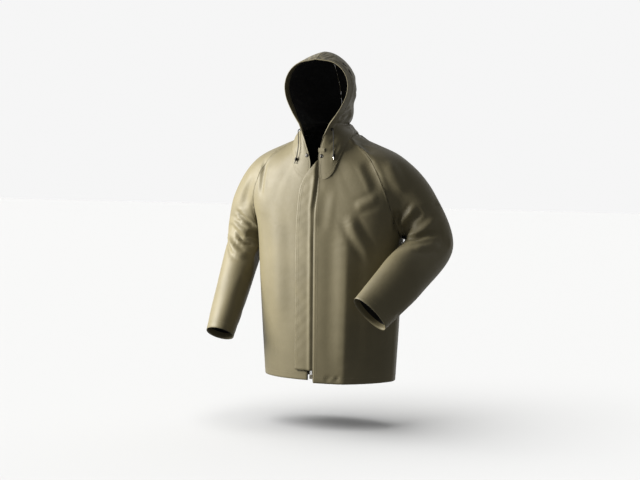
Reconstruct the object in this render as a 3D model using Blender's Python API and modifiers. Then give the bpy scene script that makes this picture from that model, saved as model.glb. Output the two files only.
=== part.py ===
"""Hooded waterproof work jacket of coated fabric, standing open as it is worn.

Frame: +Z up, the front faces -Y, +X is the wearer's left. The origin is the centre of the neck's base.
Fabric pieces are plain shells with real openings; zip, snaps, eyelets and cord ends are real pieces.
"""
import math

import bmesh
import bpy
from mathutils import Vector

# ---------------------------------------------------------------- driving dimensions (metres)
SHELL = 0.0025            # thickness of the solid that stands for a layer of coated fabric
SEAM = 0.0014             # each panel stops this far short of its seam line
GAP = 0.0004              # clearance between pieces that touch
SEAM_STEPS = 9            # the panels and the sleeves share this many steps up each raglan seam
LEFT, RIGHT = 1, -1       # the sign of X on the wearer's left and right

HEM_Z = {LEFT: -0.791, RIGHT: -0.783}
BACK_HEM_Z = -0.789
UNDERARM_Z = -0.305
FRONT_EDGE = 0.0125       # half the gap between the two front edges, which the zip fills
# height, half width, depth in front of the side seam, depth behind it
TORSO = [
    (-0.800, 0.2330, 0.1460, 0.1400),
    (-0.630, 0.2450, 0.1440, 0.1460),
    (-0.450, 0.2560, 0.1410, 0.1500),
    (-0.305, 0.2620, 0.1385, 0.1480),
    (-0.180, 0.2620, 0.1360, 0.1420),
    (-0.060, 0.2600, 0.1335, 0.1250),
]
# raglan seams, from the underarm to the neck, on the wearer's left
FRONT_SEAM = [(0.262, 0.0, -0.305), (0.258, -0.060, -0.230), (0.243, -0.090, -0.146),
              (0.190, -0.084, -0.045), (0.098, -0.048, 0.026)]
BACK_SEAM = [(0.262, 0.0, -0.305), (0.258, 0.070, -0.230), (0.243, 0.098, -0.146),
             (0.190, 0.088, -0.045), (0.095, 0.050, 0.030)]
NECK_SIDE = (0.092, 0.002, 0.034)
NAPE = (0.0, 0.087, 0.038)
# middle of the back, from the underarm's height to the nape
BACK_MIDDLE = [(0.0, 0.148, -0.305), (0.0, 0.142, -0.180), (0.0, 0.122, -0.060), NAPE]
# lower edge of the neck skirt, from the front edge to the raglan seam
SKIRT_LINE = [(0.0125, -0.1365, -0.108), (0.040, -0.1350, -0.106), (0.064, -0.1290, -0.086),
              (0.078, -0.1200, -0.056), (0.093, -0.0980, -0.014), (0.098, -0.048, 0.026)]
# top edge of the neck skirt, from the throat to the raglan seam
SKIRT_TOP = [(0.030, -0.1255, 0.014), (0.048, -0.1180, 0.026), (0.078, -0.0860, 0.034),
             (0.094, -0.0480, 0.034)]
THROAT = (0.0055, -0.1330, -0.058)

BAND_TOP = 0.066          # the neck band ends and the folding part of the hood starts here
BAND = [(0.044, -0.1190), (0.078, -0.0760), (0.0875, -0.0100), (0.068, 0.0560), (0.036, 0.0800),
        (0.0, 0.0860)]
# face edge of the hood, from the band to the middle of the forehead
FACE_EDGE = [(0.058, -0.1170, 0.070), (0.088, -0.1110, 0.112), (0.1125, -0.1060, 0.160),
             (0.1175, -0.1050, 0.205), (0.100, -0.1055, 0.246), (0.062, -0.1065, 0.274),
             (0.0, -0.1070, 0.285)]
# middle seam of the hood, from the nape over the crown to the forehead
CROWN = [(0.0, 0.0860, 0.070), (0.0, 0.0920, 0.120), (0.0, 0.0860, 0.170), (0.0, 0.0660, 0.222),
         (0.0, 0.0270, 0.279), (0.0, -0.0320, 0.311), (0.0, -0.1070, 0.285)]
CROWN_END = 0.985         # the rows stop just short of the point where face edge and middle seam meet
TUNNEL = 0.024            # width of the drawcord tunnel round the face
CORD_R = 0.0015

# arms: centre of the elbow and cuff, and half sizes in and across the plane the arm bends in
ARMS = {
    LEFT: {"shoulder": (0.256, 0.000, -0.132), "upper": (0.304, 0.024, -0.190),
           "elbow": (0.347, 0.039, -0.326), "fore": (0.314, -0.094, -0.428),
           "cuff": (0.240, -0.193, -0.544),
           "upper_size": (0.068, 0.070), "elbow_size": (0.082, 0.064),
           "fore_size": (0.079, 0.057), "cuff_size": (0.072, 0.043)},
    RIGHT: {"shoulder": (-0.256, 0.000, -0.132), "upper": (-0.295, 0.004, -0.190),
            "elbow": (-0.331, 0.004, -0.326), "fore": (-0.339, -0.066, -0.480),
            "cuff": (-0.341, -0.160, -0.644),
            "upper_size": (0.070, 0.069), "elbow_size": (0.074, 0.064),
            "fore_size": (0.068, 0.058), "cuff_size": (0.064, 0.048)},
}
SHOULDER_RISE, SHOULDER_DEPTH = 0.086, 0.084
CUFF_FACING = 0.024

FLAP_WIDTH = 0.070        # storm flap, hinged at the wearer's left front edge
FLAP_Z = (-0.749, -0.070)
FLAP_OFF = 0.0050         # space between the flap and the right front
FLAP_SNAP_Z = [-0.700, -0.540, -0.380, -0.220]
SNAP_R = 0.0056
ZIP_Z = (-0.765, -0.118)

HINGE_X = FRONT_EDGE - 0.0012   # the flap's fixed edge lies just under the wearer's left front
FACE_POINTS = []          # the right front's face, filled in once by front_face
EYELET, EYELET_OUT = (0.0594, -0.1030, 0.052), (0.77, -0.64, 0.0)
CORD_LEFT = [(0.0594, -0.1030, 0.0520), (0.0636, -0.1065, 0.0515), (0.0668, -0.1098, 0.0460),
             (0.0688, -0.1122, 0.0340), (0.0702, -0.1146, 0.0150), (0.0718, -0.1180, -0.0080),
             (0.0740, -0.1218, -0.0240), (0.0757, -0.1246, -0.0360), (0.0774, -0.1274, -0.0480)]
CORD_RIGHT = [(-0.0594, -0.1030, 0.0520), (-0.0636, -0.1065, 0.0515), (-0.0645, -0.1092, 0.0460),
              (-0.0615, -0.1140, 0.0340), (-0.0575, -0.1205, 0.0210), (-0.0545, -0.1258, 0.0070),
              (-0.0548, -0.1292, -0.0140), (-0.0575, -0.1310, -0.0340), (-0.0600, -0.13175, -0.0430),
              (-0.0625, -0.1325, -0.0520), (-0.0650, -0.13325, -0.0610)]
LOCKS = {"left": ((0.0749, -0.1232, -0.0300), (0.0761, -0.1252, -0.0384)),
         "right": ((-0.0600, -0.13175, -0.0430), (-0.0621, -0.1324, -0.0506))}


# ---------------------------------------------------------------- curves and surfaces
def vec(p, side=LEFT):
    return Vector((p[0] * side, p[1], p[2]))


def through(points, t):
    """The point at t, from 0 to 1 by length, on a smooth curve through the points."""
    runs = [(b - a).length for a, b in zip(points, points[1:])]
    goal, i = t * sum(runs), 0
    while i < len(runs) - 1 and goal > runs[i]:
        goal -= runs[i]
        i += 1
    s = goal / runs[i] if runs[i] else 0.0
    p1, p2 = points[i], points[i + 1]
    p0 = points[i - 1] if i else p1 * 2 - p2
    p3 = points[i + 2] if i + 2 < len(points) else p2 * 2 - p1
    return 0.5 * (p1 * 2 + (p2 - p0) * s + (p0 * 2 - p1 * 5 + p2 * 4 - p3) * s * s
                  + (p1 * 3 - p0 - p2 * 3 + p3) * s ** 3)


def bezier(p0, p1, p2, p3, t):
    s = 1 - t
    return p0 * s ** 3 + p1 * (3 * s * s * t) + p2 * (3 * s * t * t) + p3 * t ** 3


def torso_at(z):
    """Half width, front depth and back depth of the body at a height."""
    rows = [Vector((r[0], r[1], r[2], r[3])) for r in TORSO]
    z = min(max(z, rows[0][0]), rows[-1][0])
    i = max(k for k in range(len(rows) - 1) if rows[k][0] <= z)
    t = (z - rows[i][0]) / (rows[i + 1][0] - rows[i][0])
    mixed = rows[i].lerp(rows[i + 1], t)
    return mixed[1], mixed[2], mixed[3]


def row_curve(front, side_point, t, full=0.62):
    """One row round the body: it leaves the middle along X and reaches the side along Y."""
    d = side_point - front
    p1 = front + Vector((d.x * full, 0, d.z / 3))
    p2 = side_point - Vector((0, d.y * full, d.z / 3))
    return bezier(front, p1, p2, side_point, t)


def inset(rows, closed=False, d=SEAM):
    """Pull the outer points of a grid in by d, so that neighbours don't touch."""
    rows = [list(r) for r in rows]
    for end, nxt in ((0, 1), (-1, -2)):
        rows[end] = [a + (b - a).normalized() * d if (b - a).length > d else a
                     for a, b in zip(rows[end], rows[nxt])]
    if not closed:
        for r in rows:
            r[0] = r[0] + (r[1] - r[0]).normalized() * d
            r[-1] = r[-1] + (r[-2] - r[-1]).normalized() * d
    return rows


# ---------------------------------------------------------------- objects
def clear_scene():
    for obj in list(bpy.data.objects):
        bpy.data.objects.remove(obj, do_unlink=True)
    for coll in list(bpy.data.collections):
        bpy.data.collections.remove(coll)


def make_collection(name):
    coll = bpy.data.collections.new(name)
    bpy.context.scene.collection.children.link(coll)
    return coll


def material(name, colour, roughness, metallic=0.0):
    mat = bpy.data.materials.get(name) or bpy.data.materials.new(name)
    mat.use_nodes = True
    shader = mat.node_tree.nodes["Principled BSDF"]
    shader.inputs["Base Color"].default_value = (*colour, 1)
    shader.inputs["Roughness"].default_value = roughness
    shader.inputs["Metallic"].default_value = metallic
    return mat


def add_mesh(name, bm, mat, smooth=True):
    mesh = bpy.data.meshes.new(name)
    bm.to_mesh(mesh)
    bm.free()
    mesh.materials.append(mat)
    if smooth:
        mesh.shade_smooth()
    obj = bpy.data.objects.new(name, mesh)
    PARTS.objects.link(obj)
    return obj


def sheet(name, rows, mat, closed=False, inward=True, thickness=SHELL):
    """A fabric piece: an open lofted surface given its thickness by Solidify."""
    bm = bmesh.new()
    grid = [[bm.verts.new(p) for p in row] for row in rows]
    across = len(grid[0])
    for a, b in zip(grid, grid[1:]):
        for i in range(across if closed else across - 1):
            j = (i + 1) % across
            bm.faces.new((a[i], a[j], b[j], b[i]))
    obj = add_mesh(name, bm, mat)
    wall = obj.modifiers.new("Wall", "SOLIDIFY")
    wall.thickness = thickness
    wall.offset = -1 if inward else 1
    return obj


def turned(name, profile, centre, axis, mat, steps=16, bored=False):
    """A round piece: a profile of (radius, height), given bottom to top, turned by Screw about axis."""
    bm = bmesh.new()
    verts = [bm.verts.new((r, 0, h)) for r, h in reversed(profile)]
    if bored:
        verts.append(verts[0])
    for a, b in zip(verts, verts[1:]):
        bm.edges.new((a, b))
    obj = add_mesh(name, bm, mat)
    turn = obj.modifiers.new("Turn", "SCREW")
    turn.steps = turn.render_steps = steps
    turn.use_merge_vertices = True
    turn.merge_threshold = 0.00001
    obj.location = centre
    obj.rotation_mode = "QUATERNION"
    obj.rotation_quaternion = Vector((0, 0, 1)).rotation_difference(axis)
    return obj


def block(name, centre, size, mat, bevel=0.0, turn=None):
    bpy.ops.mesh.primitive_cube_add(size=1, location=centre)
    obj = bpy.context.object
    obj.name = obj.data.name = name
    obj.scale = size
    if turn:
        obj.rotation_euler = turn
    bpy.ops.object.transform_apply(location=False, rotation=False, scale=True)
    obj.data.materials.append(mat)
    if bevel:
        edge = obj.modifiers.new("Edge", "BEVEL")
        edge.width = bevel
        edge.segments = 2
    for coll in list(obj.users_collection):
        coll.objects.unlink(obj)
    PARTS.objects.link(obj)
    return obj


def tube(name, points, radius, mat, resolution=2):
    curve = bpy.data.curves.new(name, "CURVE")
    curve.dimensions = "3D"
    curve.bevel_depth = radius
    curve.bevel_resolution = resolution
    curve.use_fill_caps = True
    line = curve.splines.new("POLY")
    line.points.add(len(points) - 1)
    for point, p in zip(line.points, points):
        point.co = (*p, 1)
    curve.materials.append(mat)
    obj = bpy.data.objects.new(name, curve)
    PARTS.objects.link(obj)
    return obj


# ---------------------------------------------------------------- body panels
def front_point(side, v, t):
    """The front's outer face: v runs 0 to 1 from the hem to the underarm, and on to 2 at the skirt;
    t runs from the front edge to the side or raglan seam."""
    if v < 1:
        z = HEM_Z[side] + (UNDERARM_Z - HEM_Z[side]) * v
        half, front, _ = torso_at(z)
        return row_curve(Vector((FRONT_EDGE, -front, z)), Vector((half, 0, z)), t)
    seam, top, u = [vec(p) for p in FRONT_SEAM], [vec(p) for p in SKIRT_LINE], v - 1
    start = Vector((FRONT_EDGE, -torso_at(UNDERARM_Z)[1], UNDERARM_Z))
    bow = through(seam, u) - seam[0].lerp(seam[-1], u)
    return row_curve(start, seam[0], t).lerp(through(top, t), u) + bow * t ** 2.2


def front_rows(side, columns=8, body_rows=9):
    """Rows of a front panel, from the hem up."""
    levels = [k / body_rows for k in range(body_rows)]
    levels += [1 + k / SEAM_STEPS for k in range(SEAM_STEPS + 1)]
    return [[vec(front_point(side, v, i / columns), side) for i in range(columns + 1)] for v in levels]


def back_rows(columns=7, body_rows=9, yoke_rows=SEAM_STEPS):
    """Rows of the back panel, from the hem up, each from the right side round to the left."""
    seam = [vec(p) for p in BACK_SEAM]
    rows = []

    def whole(middle, end):
        half = [row_curve(middle, end, i / columns) for i in range(columns + 1)]
        return [vec(p, RIGHT) for p in reversed(half[1:])] + half

    for k in range(body_rows):
        z = BACK_HEM_Z + (UNDERARM_Z - BACK_HEM_Z) * k / body_rows
        half, _, back = torso_at(z)
        rows.append(whole(Vector((0, back, z)), Vector((half, 0, z))))
    middle = [vec(p) for p in BACK_MIDDLE]
    for k in range(yoke_rows + 1):
        u = k / yoke_rows
        rows.append(whole(through(middle, u), through(seam, u)))
    return rows


def make_body():
    for side, word in ((LEFT, "left"), (RIGHT, "right")):
        rows = inset(front_rows(side))
        sheet("front_panel_" + word, rows, SHELL_CLOTH, inward=side == LEFT)
    sheet("back_panel", inset(back_rows()), SHELL_CLOTH, inward=False)


def make_neck_skirts(columns=8, height=4):
    """The two lower ends of the hood, which lap onto the fronts below the throat."""
    low, top = [vec(p) for p in SKIRT_LINE], [vec(p) for p in SKIRT_TOP]
    throat = vec(THROAT)
    for side, word in ((LEFT, "left"), (RIGHT, "right")):
        rows = []
        for k in range(height + 1):
            v = k / height
            row = []
            for i in range(columns + 1):
                t = i / columns
                base, head = through(low, t), through(top, t)
                p = base.lerp(head, v)
                if i == 0:
                    p = through([low[0], throat, head], v)
                bulge = 0.004 * math.sin(math.pi * v) * math.sin(math.pi * t)
                p += Vector((p.x, p.y, 0)).normalized() * bulge
                row.append(vec(p, side))
            rows.append(row)
        sheet("neck_skirt_" + word, inset(rows), SHELL_CLOTH, inward=side == LEFT)


# ---------------------------------------------------------------- sleeves
def armhole(side, phi):
    """The armhole's loop: phi 0 at the underarm, pi at the neck's side, front seam first."""
    seam = FRONT_SEAM if phi <= math.pi else BACK_SEAM
    u = (1 - abs(1 - phi / math.pi)) * (SEAM_STEPS + 1) / SEAM_STEPS
    if u > 1.0001:
        return vec(seam[-1], side).lerp(vec(NECK_SIDE, side), (u - 1) * SEAM_STEPS)
    return through([vec(p, side) for p in seam], min(u, 1))


def ring(centre, direction, out, size, plane, phi):
    """A point of an oval section: size is half its width in the bending plane and across it."""
    t = direction.normalized()
    across = (plane - t * plane.dot(t)).normalized()
    inplane = across.cross(t)
    o = (out - t * out.dot(t)).normalized()
    f = t.cross(o)
    if f.y > 0:
        f = -f
    v = o * -math.cos(phi) + f * math.sin(phi)
    return centre + inplane * v.dot(inplane) * size[0] + across * v.dot(across) * size[1]


def arm_frame(side):
    arm = ARMS[side]
    upper, elbow, cuff = (Vector(arm[k]) for k in ("upper", "elbow", "cuff"))
    upper_dir, fore_dir = (elbow - upper).normalized(), (cuff - elbow).normalized()
    hinge = upper_dir.cross(fore_dir).normalized()
    return upper_dir, fore_dir, hinge


def sleeve_line(side, phi):
    """Control points down one line of the sleeve, from the raglan seam to the cuff."""
    arm = ARMS[side]
    upper_dir, fore_dir, hinge = arm_frame(side)
    out = Vector((side, 0, 0))
    turn = upper_dir.rotation_difference(fore_dir)
    half_turn = turn.copy()
    half_turn.angle *= 0.5
    mid_dir, mid_out, fore_out = half_turn @ upper_dir, half_turn @ out, turn @ out
    start = armhole(side, phi)
    lift = (1 - math.cos(phi)) / 2
    elbow = ring(Vector(arm["elbow"]), mid_dir, mid_out, arm["elbow_size"], hinge, phi)
    upper = ring(Vector(arm["upper"]), upper_dir, out, arm["upper_size"], hinge, phi)
    upper = start.lerp(elbow, 0.5).lerp(upper, min(1, lift * 1.6))
    cap = Vector(arm["shoulder"]) + Vector((0.012 * side, 0, SHOULDER_RISE)) * -math.cos(phi)
    cap += Vector((0, -SHOULDER_DEPTH, 0)) * math.sin(phi)
    cap = start.lerp(elbow, 0.2).lerp(cap, min(1, lift * 1.6))
    fore = ring(Vector(arm["fore"]), fore_dir, fore_out, arm["fore_size"], hinge, phi)
    cuff = ring(Vector(arm["cuff"]), fore_dir, fore_out, arm["cuff_size"], hinge, phi)
    return start, cap, upper, elbow, fore, cuff


def spans(points, ranges):
    """Rows of points along a line of control points; ranges are (first, last, steps) in its spans."""
    out = []
    for first, last, steps in ranges:
        for k in range(steps + 1):
            s = first + (last - first) * k / steps
            i = min(int(s), len(points) - 2)
            f = s - i
            p1, p2 = points[i], points[i + 1]
            p0 = points[i - 1] if i else p1 * 2 - p2
            p3 = points[i + 2] if i + 2 < len(points) else p2 * 2 - p1
            out.append(0.5 * (p1 * 2 + (p2 - p0) * f + (p0 * 2 - p1 * 5 + p2 * 4 - p3) * f * f
                              + (p1 * 3 - p0 - p2 * 3 + p3) * f ** 3))
    return out


def make_sleeves(around=2 * (SEAM_STEPS + 1)):
    """Each raglan sleeve, parted at the elbow, and the facing turned up inside its cuff."""
    for side, word in ((LEFT, "left"), (RIGHT, "right")):
        lines = [sleeve_line(side, 2 * math.pi * i / around) for i in range(around)]
        inward = side == RIGHT
        for name, part in (("upper_sleeve_", (0, 2.9, 9)), ("forearm_sleeve_", (2.9, 5, 7))):
            columns = [spans(line, [part]) for line in lines]
            rows = inset([list(r) for r in zip(*columns)], closed=True)
            sheet(name + word, rows, SHELL_CLOTH, closed=True, inward=inward)
        make_cuff_facing(side, word, lines, inward)


def make_cuff_facing(side, word, lines, inward):
    cuff = Vector(ARMS[side]["cuff"])
    fore_dir = arm_frame(side)[1]
    rows = []
    for k in range(3):
        depth = 0.0025 + (CUFF_FACING - 0.0025) * k / 2
        row = []
        for line in lines:
            p = line[5] + (line[4] - line[5]).normalized() * depth
            axis = cuff - fore_dir * depth
            inner = (axis - p)
            inner -= fore_dir * inner.dot(fore_dir)
            row.append(p + inner.normalized() * (SHELL + 0.0020))
        rows.append(row)
    sheet("cuff_facing_" + word, rows, LINING, closed=True, inward=not inward, thickness=0.0015)


# ---------------------------------------------------------------- hood
def hood_rows(columns=7, height=9):
    """One half of the hood: each row runs from the face edge round to the middle seam."""
    face, crown = [vec(p) for p in FACE_EDGE], [vec(p) for p in CROWN]
    rows = []
    for k in range(height + 1):
        v = k / height * CROWN_END
        start, end = through(face, v), through(crown, v)
        d = end - start
        p1 = start + Vector((0.020 * (1 - v), d.y * 0.45, d.z * 0.2))
        p2 = end + Vector((-d.x * 0.66, 0, -d.z * 0.1))
        rows.append([bezier(start, p1, p2, end, i / columns) for i in range(columns + 1)])
    return rows


def make_hood():
    for side, word in ((LEFT, "left"), (RIGHT, "right")):
        rows = [[vec(p, side) for p in row] for row in hood_rows()]
        sheet("hood_panel_" + word, inset(rows), SHELL_CLOTH, inward=side == LEFT)
    make_neck_band()


def band_point(t, z):
    """t from -1, the right face edge, through 0, the nape, to 1, the left face edge."""
    half = [Vector((x, y, 0)) for x, y in reversed(BAND)]
    p = through(half, abs(t))
    return Vector((p.x * (1 if t >= 0 else -1), p.y, z))


def band_bottom(t):
    """The neckline rises from the throat to the neck's side and on to the nape."""
    a = abs(t)
    return 0.0385 - 0.003 * math.sin(math.pi * a) - 0.010 * max(0.0, a - 0.75) * 4


def make_neck_band(columns=24):
    rows = []
    for k in range(3):
        row = []
        for i in range(columns + 1):
            t = -1 + 2 * i / columns
            low = band_bottom(t)
            row.append(band_point(t, low + (BAND_TOP - low) * k / 2))
        rows.append(row)
    sheet("hood_neck_band", inset(rows), SHELL_CLOTH, inward=False)


# ---------------------------------------------------------------- front closure
def front_line(z):
    """Depth of the outer face of the fronts at the middle, a straight line that the zip follows."""
    return -(0.1344 + 0.0112 * (-z - 0.06) / 0.73)


def front_face(x, z):
    """The y of the wearer's right front near x and z, from the front's nearest point."""
    levels = [k / 24 for k in range(24)] + [1 + k / 50 for k in range(51)]
    if not FACE_POINTS:
        FACE_POINTS.extend(front_point(RIGHT, v, i / 80) for v in levels for i in range(33))
    near = min(FACE_POINTS, key=lambda p: (p.x - abs(x)) ** 2 + 0.2 * (p.z - z) ** 2)
    return near.y


def flap_outline(t):
    """Left edge of the flap at a height fraction t: straight, then a wide curve up to the throat."""
    z = FLAP_Z[0] + (FLAP_Z[1] - FLAP_Z[0]) * t
    rise = max(0.0, (z + 0.200) / (FLAP_Z[1] + 0.200))
    return -(FLAP_WIDTH - FRONT_EDGE) + (FLAP_WIDTH - 0.012) * rise ** 2.2, z


def make_flap(columns=5, height=16):
    rows = []
    for k in range(height + 1):
        left, z = flap_outline(k / height)
        row = []
        for i in range(columns + 1):
            x = left + (HINGE_X - GAP - left) * i / columns
            row.append(Vector((x, front_face(min(x, -FRONT_EDGE), z) - FLAP_OFF - SHELL, z)))
        rows.append(row)
    sheet("storm_flap", rows, SHELL_CLOTH, inward=True)


def make_flap_snaps():
    """Press studs: a socket inside the flap and its stud on the right front."""
    x = -0.040
    for number, z in enumerate(FLAP_SNAP_Z, 1):
        face = front_face(x, z)
        outward = Vector((0, -1, 0))
        stud = [(0, 0.0), (SNAP_R, 0.0), (SNAP_R, 0.0007), (0.0022, 0.0009), (0.0022, 0.0022),
                (0, 0.0022)]
        socket = [(0, 0.0), (SNAP_R, 0.0), (SNAP_R, 0.0018), (0.0030, 0.0020), (0.0028, 0.0008),
                  (0, 0.0008)]
        turned("flap_stud_%d" % number, stud, Vector((x, face - 0.0006, z)), outward, BRASS)
        turned("flap_socket_%d" % number, socket, Vector((x, face - FLAP_OFF + 0.0010, z)),
               -outward, BRASS)


def zip_frame(z, depth):
    """A point of the zip's plane: depth counts inwards from the fronts' outer faces."""
    return Vector((0, front_line(z) + depth, z))


def strip(name, x_range, depth, thickness, mat, z_range=ZIP_Z):
    """A straight strip along the zip."""
    low, high = (zip_frame(z, depth) for z in z_range)
    rows = [[Vector((x, p.y, p.z)) for x in x_range] for p in (low, low.lerp(high, 0.5), high)]
    return sheet(name, rows, mat, inward=True, thickness=thickness)


def make_zip():
    inside = SHELL + 0.0012
    strip("zip_tape_left", (0.0044, 0.0240), inside, 0.0008, ZIP_TAPE)
    strip("zip_tape_right", (-0.0240, -0.0044), inside, 0.0008, ZIP_TAPE)
    strip("zip_teeth_left", (GAP / 2, 0.0040), inside - 0.0009, 0.0026, ZIP_METAL)
    strip("zip_teeth_right", (-0.0040, -GAP / 2), inside - 0.0009, 0.0026, ZIP_METAL)
    low = zip_frame(ZIP_Z[0] - 0.0075, inside + 0.0004)
    block("zip_bottom_box", low, (0.011, 0.0034, 0.014), ZIP_METAL, 0.0006)
    make_slider(inside - 0.0009)
    for side, word in ((LEFT, "left"), (RIGHT, "right")):
        top = zip_frame(ZIP_Z[1] + 0.0030, inside)
        block("zip_top_stop_" + word, top + Vector((side * 0.0022, 0, 0)), (0.0036, 0.0030, 0.0045),
              ZIP_METAL, 0.0004)


def make_slider(front_depth):
    """Slider body: a front plate with a lip down each side of the teeth, and its hanging pull."""
    z = ZIP_Z[1] - 0.0090
    middle = zip_frame(z, front_depth)
    outline = [(-0.0056, 0.0005), (-0.0056, -0.0014), (0.0056, -0.0014), (0.0056, 0.0005),
               (0.0044, 0.0005), (0.0044, -GAP), (-0.0044, -GAP), (-0.0044, 0.0005)]
    bm = bmesh.new()
    ends = [[bm.verts.new(middle + Vector((x, y, dz))) for x, y in outline] for dz in (-0.006, 0.006)]
    for a, b in zip(*[list(zip(r, r[1:] + r[:1])) for r in ends]):
        bm.faces.new((a[0], a[1], b[1], b[0]))
    bm.faces.new(list(reversed(ends[0])))
    bm.faces.new(ends[1])
    bmesh.ops.recalc_face_normals(bm, faces=bm.faces)
    add_mesh("zip_slider", bm, ZIP_METAL, smooth=False)
    block("zip_pull", middle + Vector((0, -0.0023, -0.0130)), (0.0070, 0.0010, 0.0260), ZIP_METAL, 0.0004)


# ---------------------------------------------------------------- throat, cords and loop
def surface_stack(point, normal, side):
    """A fitting's place on a surface: its point and outward normal, mirrored for the right."""
    return vec(point, side), vec(normal, side).normalized()


def make_throat():
    cap = [(0, 0.0), (0.0066, 0.0), (0.0066, 0.0012), (0.0052, 0.0024), (0, 0.0024)]
    for side, word, place in ((LEFT, "left", (0.034, -0.1308, -0.036)),
                              (RIGHT, "right", (0.020, -0.1310, -0.034))):
        p, n = surface_stack(place, (0.04, -0.99, 0.10), side)
        turned("throat_snap_" + word, cap, p, n, BLACK_METAL, steps=20)
    block("throat_tab", (0.0335, -0.1304, -0.0165), (0.022, 0.0018, 0.014), SHELL_CLOTH, 0.0006,
          turn=(math.radians(-6), 0, math.radians(6.5)))


def make_eyelets():
    ring_profile = [(0.0024, 0.0), (0.0055, 0.0), (0.0055, 0.0007), (0.0040, 0.0013), (0.0024, 0.0010)]
    for side, word in ((LEFT, "left"), (RIGHT, "right")):
        p, n = surface_stack(EYELET, EYELET_OUT, side)
        turned("eyelet_" + word, ring_profile, p, n, BLACK_METAL, steps=20, bored=True)


def smooth_route(points, spacing=0.0035):
    total = sum((b - a).length for a, b in zip(points, points[1:]))
    count = max(8, int(total / spacing))
    return [through(points, i / count) for i in range(count + 1)]


def make_cords():
    """The drawcord's two free ends, each with its cord lock."""
    for word, route in (("left", CORD_LEFT), ("right", CORD_RIGHT)):
        points = [Vector(p) for p in route]
        tube("drawcord_" + word, smooth_route(points), CORD_R, CORD)
    bead = [(0.0022, -0.0050), (0.0036, -0.0050), (0.0042, 0.0), (0.0036, 0.0050), (0.0022, 0.0050)]
    for word, (a, b) in LOCKS.items():
        a, b = Vector(a), Vector(b)
        turned("cord_lock_" + word, bead, (a + b) / 2, (a - b).normalized(), BLACK_METAL, bored=True)


def face_point(v, setback, depth):
    """A point inside the left half of the hood: setback behind the face edge, depth under its face."""
    start, end = through([vec(p) for p in FACE_EDGE], v), through([vec(p) for p in CROWN], v)
    d = end - start
    back = Vector((0.020 * (1 - v), d.y * 0.45, d.z * 0.2)).normalized()
    inner = Vector((-start.x, 0, 0.17 - start.z)).normalized()
    return start + back * setback + inner * depth


def arch(setback, depth, steps):
    """Points from the right chin over the forehead to the left chin."""
    points = []
    for k in range(2 * steps + 1):
        v = CROWN_END * (1 - abs(k - steps) / steps)
        points.append(vec(face_point(v, setback, depth), LEFT if k >= steps else RIGHT))
    return points


def make_tunnel(steps=26):
    """The hem turned in round the face, and the middle of the drawcord that runs inside it."""
    rows = [arch(0.002 + TUNNEL * part / 2, SHELL + 0.0086, steps) for part in range(3)]
    sheet("drawcord_tunnel", rows, SHELL_CLOTH, inward=True, thickness=0.0014)
    middle = arch(0.012, SHELL + 0.0050, 18)
    tube("drawcord_middle", middle, CORD_R, CORD)


def make_hanger_loop():
    """A webbing staple inside the nape: a hook goes under its top."""
    points = [(-0.020, 0.0775, 0.016), (-0.020, 0.0775, 0.040), (0.020, 0.0775, 0.040),
              (0.020, 0.0775, 0.016)]
    bm = bmesh.new()
    inner = [Vector(p) for p in points]
    outer = [inner[0] + Vector((-0.0015, 0, 0)), inner[1] + Vector((-0.0015, 0, 0.0015)),
             inner[2] + Vector((0.0015, 0, 0.0015)), inner[3] + Vector((0.0015, 0, 0))]
    outline = inner + list(reversed(outer))
    low = [bm.verts.new(p) for p in outline]
    face = bm.faces.new(low)
    grown = bmesh.ops.extrude_face_region(bm, geom=[face])
    moved = [g for g in grown["geom"] if isinstance(g, bmesh.types.BMVert)]
    bmesh.ops.translate(bm, verts=moved, vec=(0, -0.008, 0))
    bmesh.ops.recalc_face_normals(bm, faces=bm.faces)
    add_mesh("hanger_loop", bm, WEBBING, smooth=False)


# ---------------------------------------------------------------- build
clear_scene()
PARTS = make_collection("work_jacket")
SHELL_CLOTH = material("coated_fabric", (0.20, 0.17, 0.10), 0.55)
LINING = material("black_backing", (0.012, 0.012, 0.012), 0.8)
BLACK_METAL = material("dark_metal", (0.03, 0.03, 0.03), 0.35, 1.0)
BRASS = material("stud_metal", (0.55, 0.50, 0.40), 0.3, 1.0)
ZIP_TAPE = material("zip_tape", (0.05, 0.045, 0.03), 0.85)
ZIP_METAL = material("zip_metal", (0.30, 0.28, 0.22), 0.35, 1.0)
CORD = material("braided_cord", (0.02, 0.02, 0.018), 0.8)
WEBBING = material("webbing", (0.02, 0.02, 0.018), 0.85)
make_body()
make_neck_skirts()
make_sleeves()
make_hood()
make_flap()
make_flap_snaps()
make_zip()
make_throat()
make_eyelets()
make_cords()
make_tunnel()
make_hanger_loop()
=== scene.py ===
"""Looks of a hooded waterproof work jacket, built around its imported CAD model.

The CAD panels are plain shells. Here each one is made again as finished cloth on the same surface:
finer grids with folds, hems turned in, seams and stitches, and a black backing inside.
Lengths are metres, +Z is up, the front faces -Y and +X is the wearer's left.
"""
import math

import bpy
import numpy as np
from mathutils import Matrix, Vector
from mathutils.kdtree import KDTree


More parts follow.
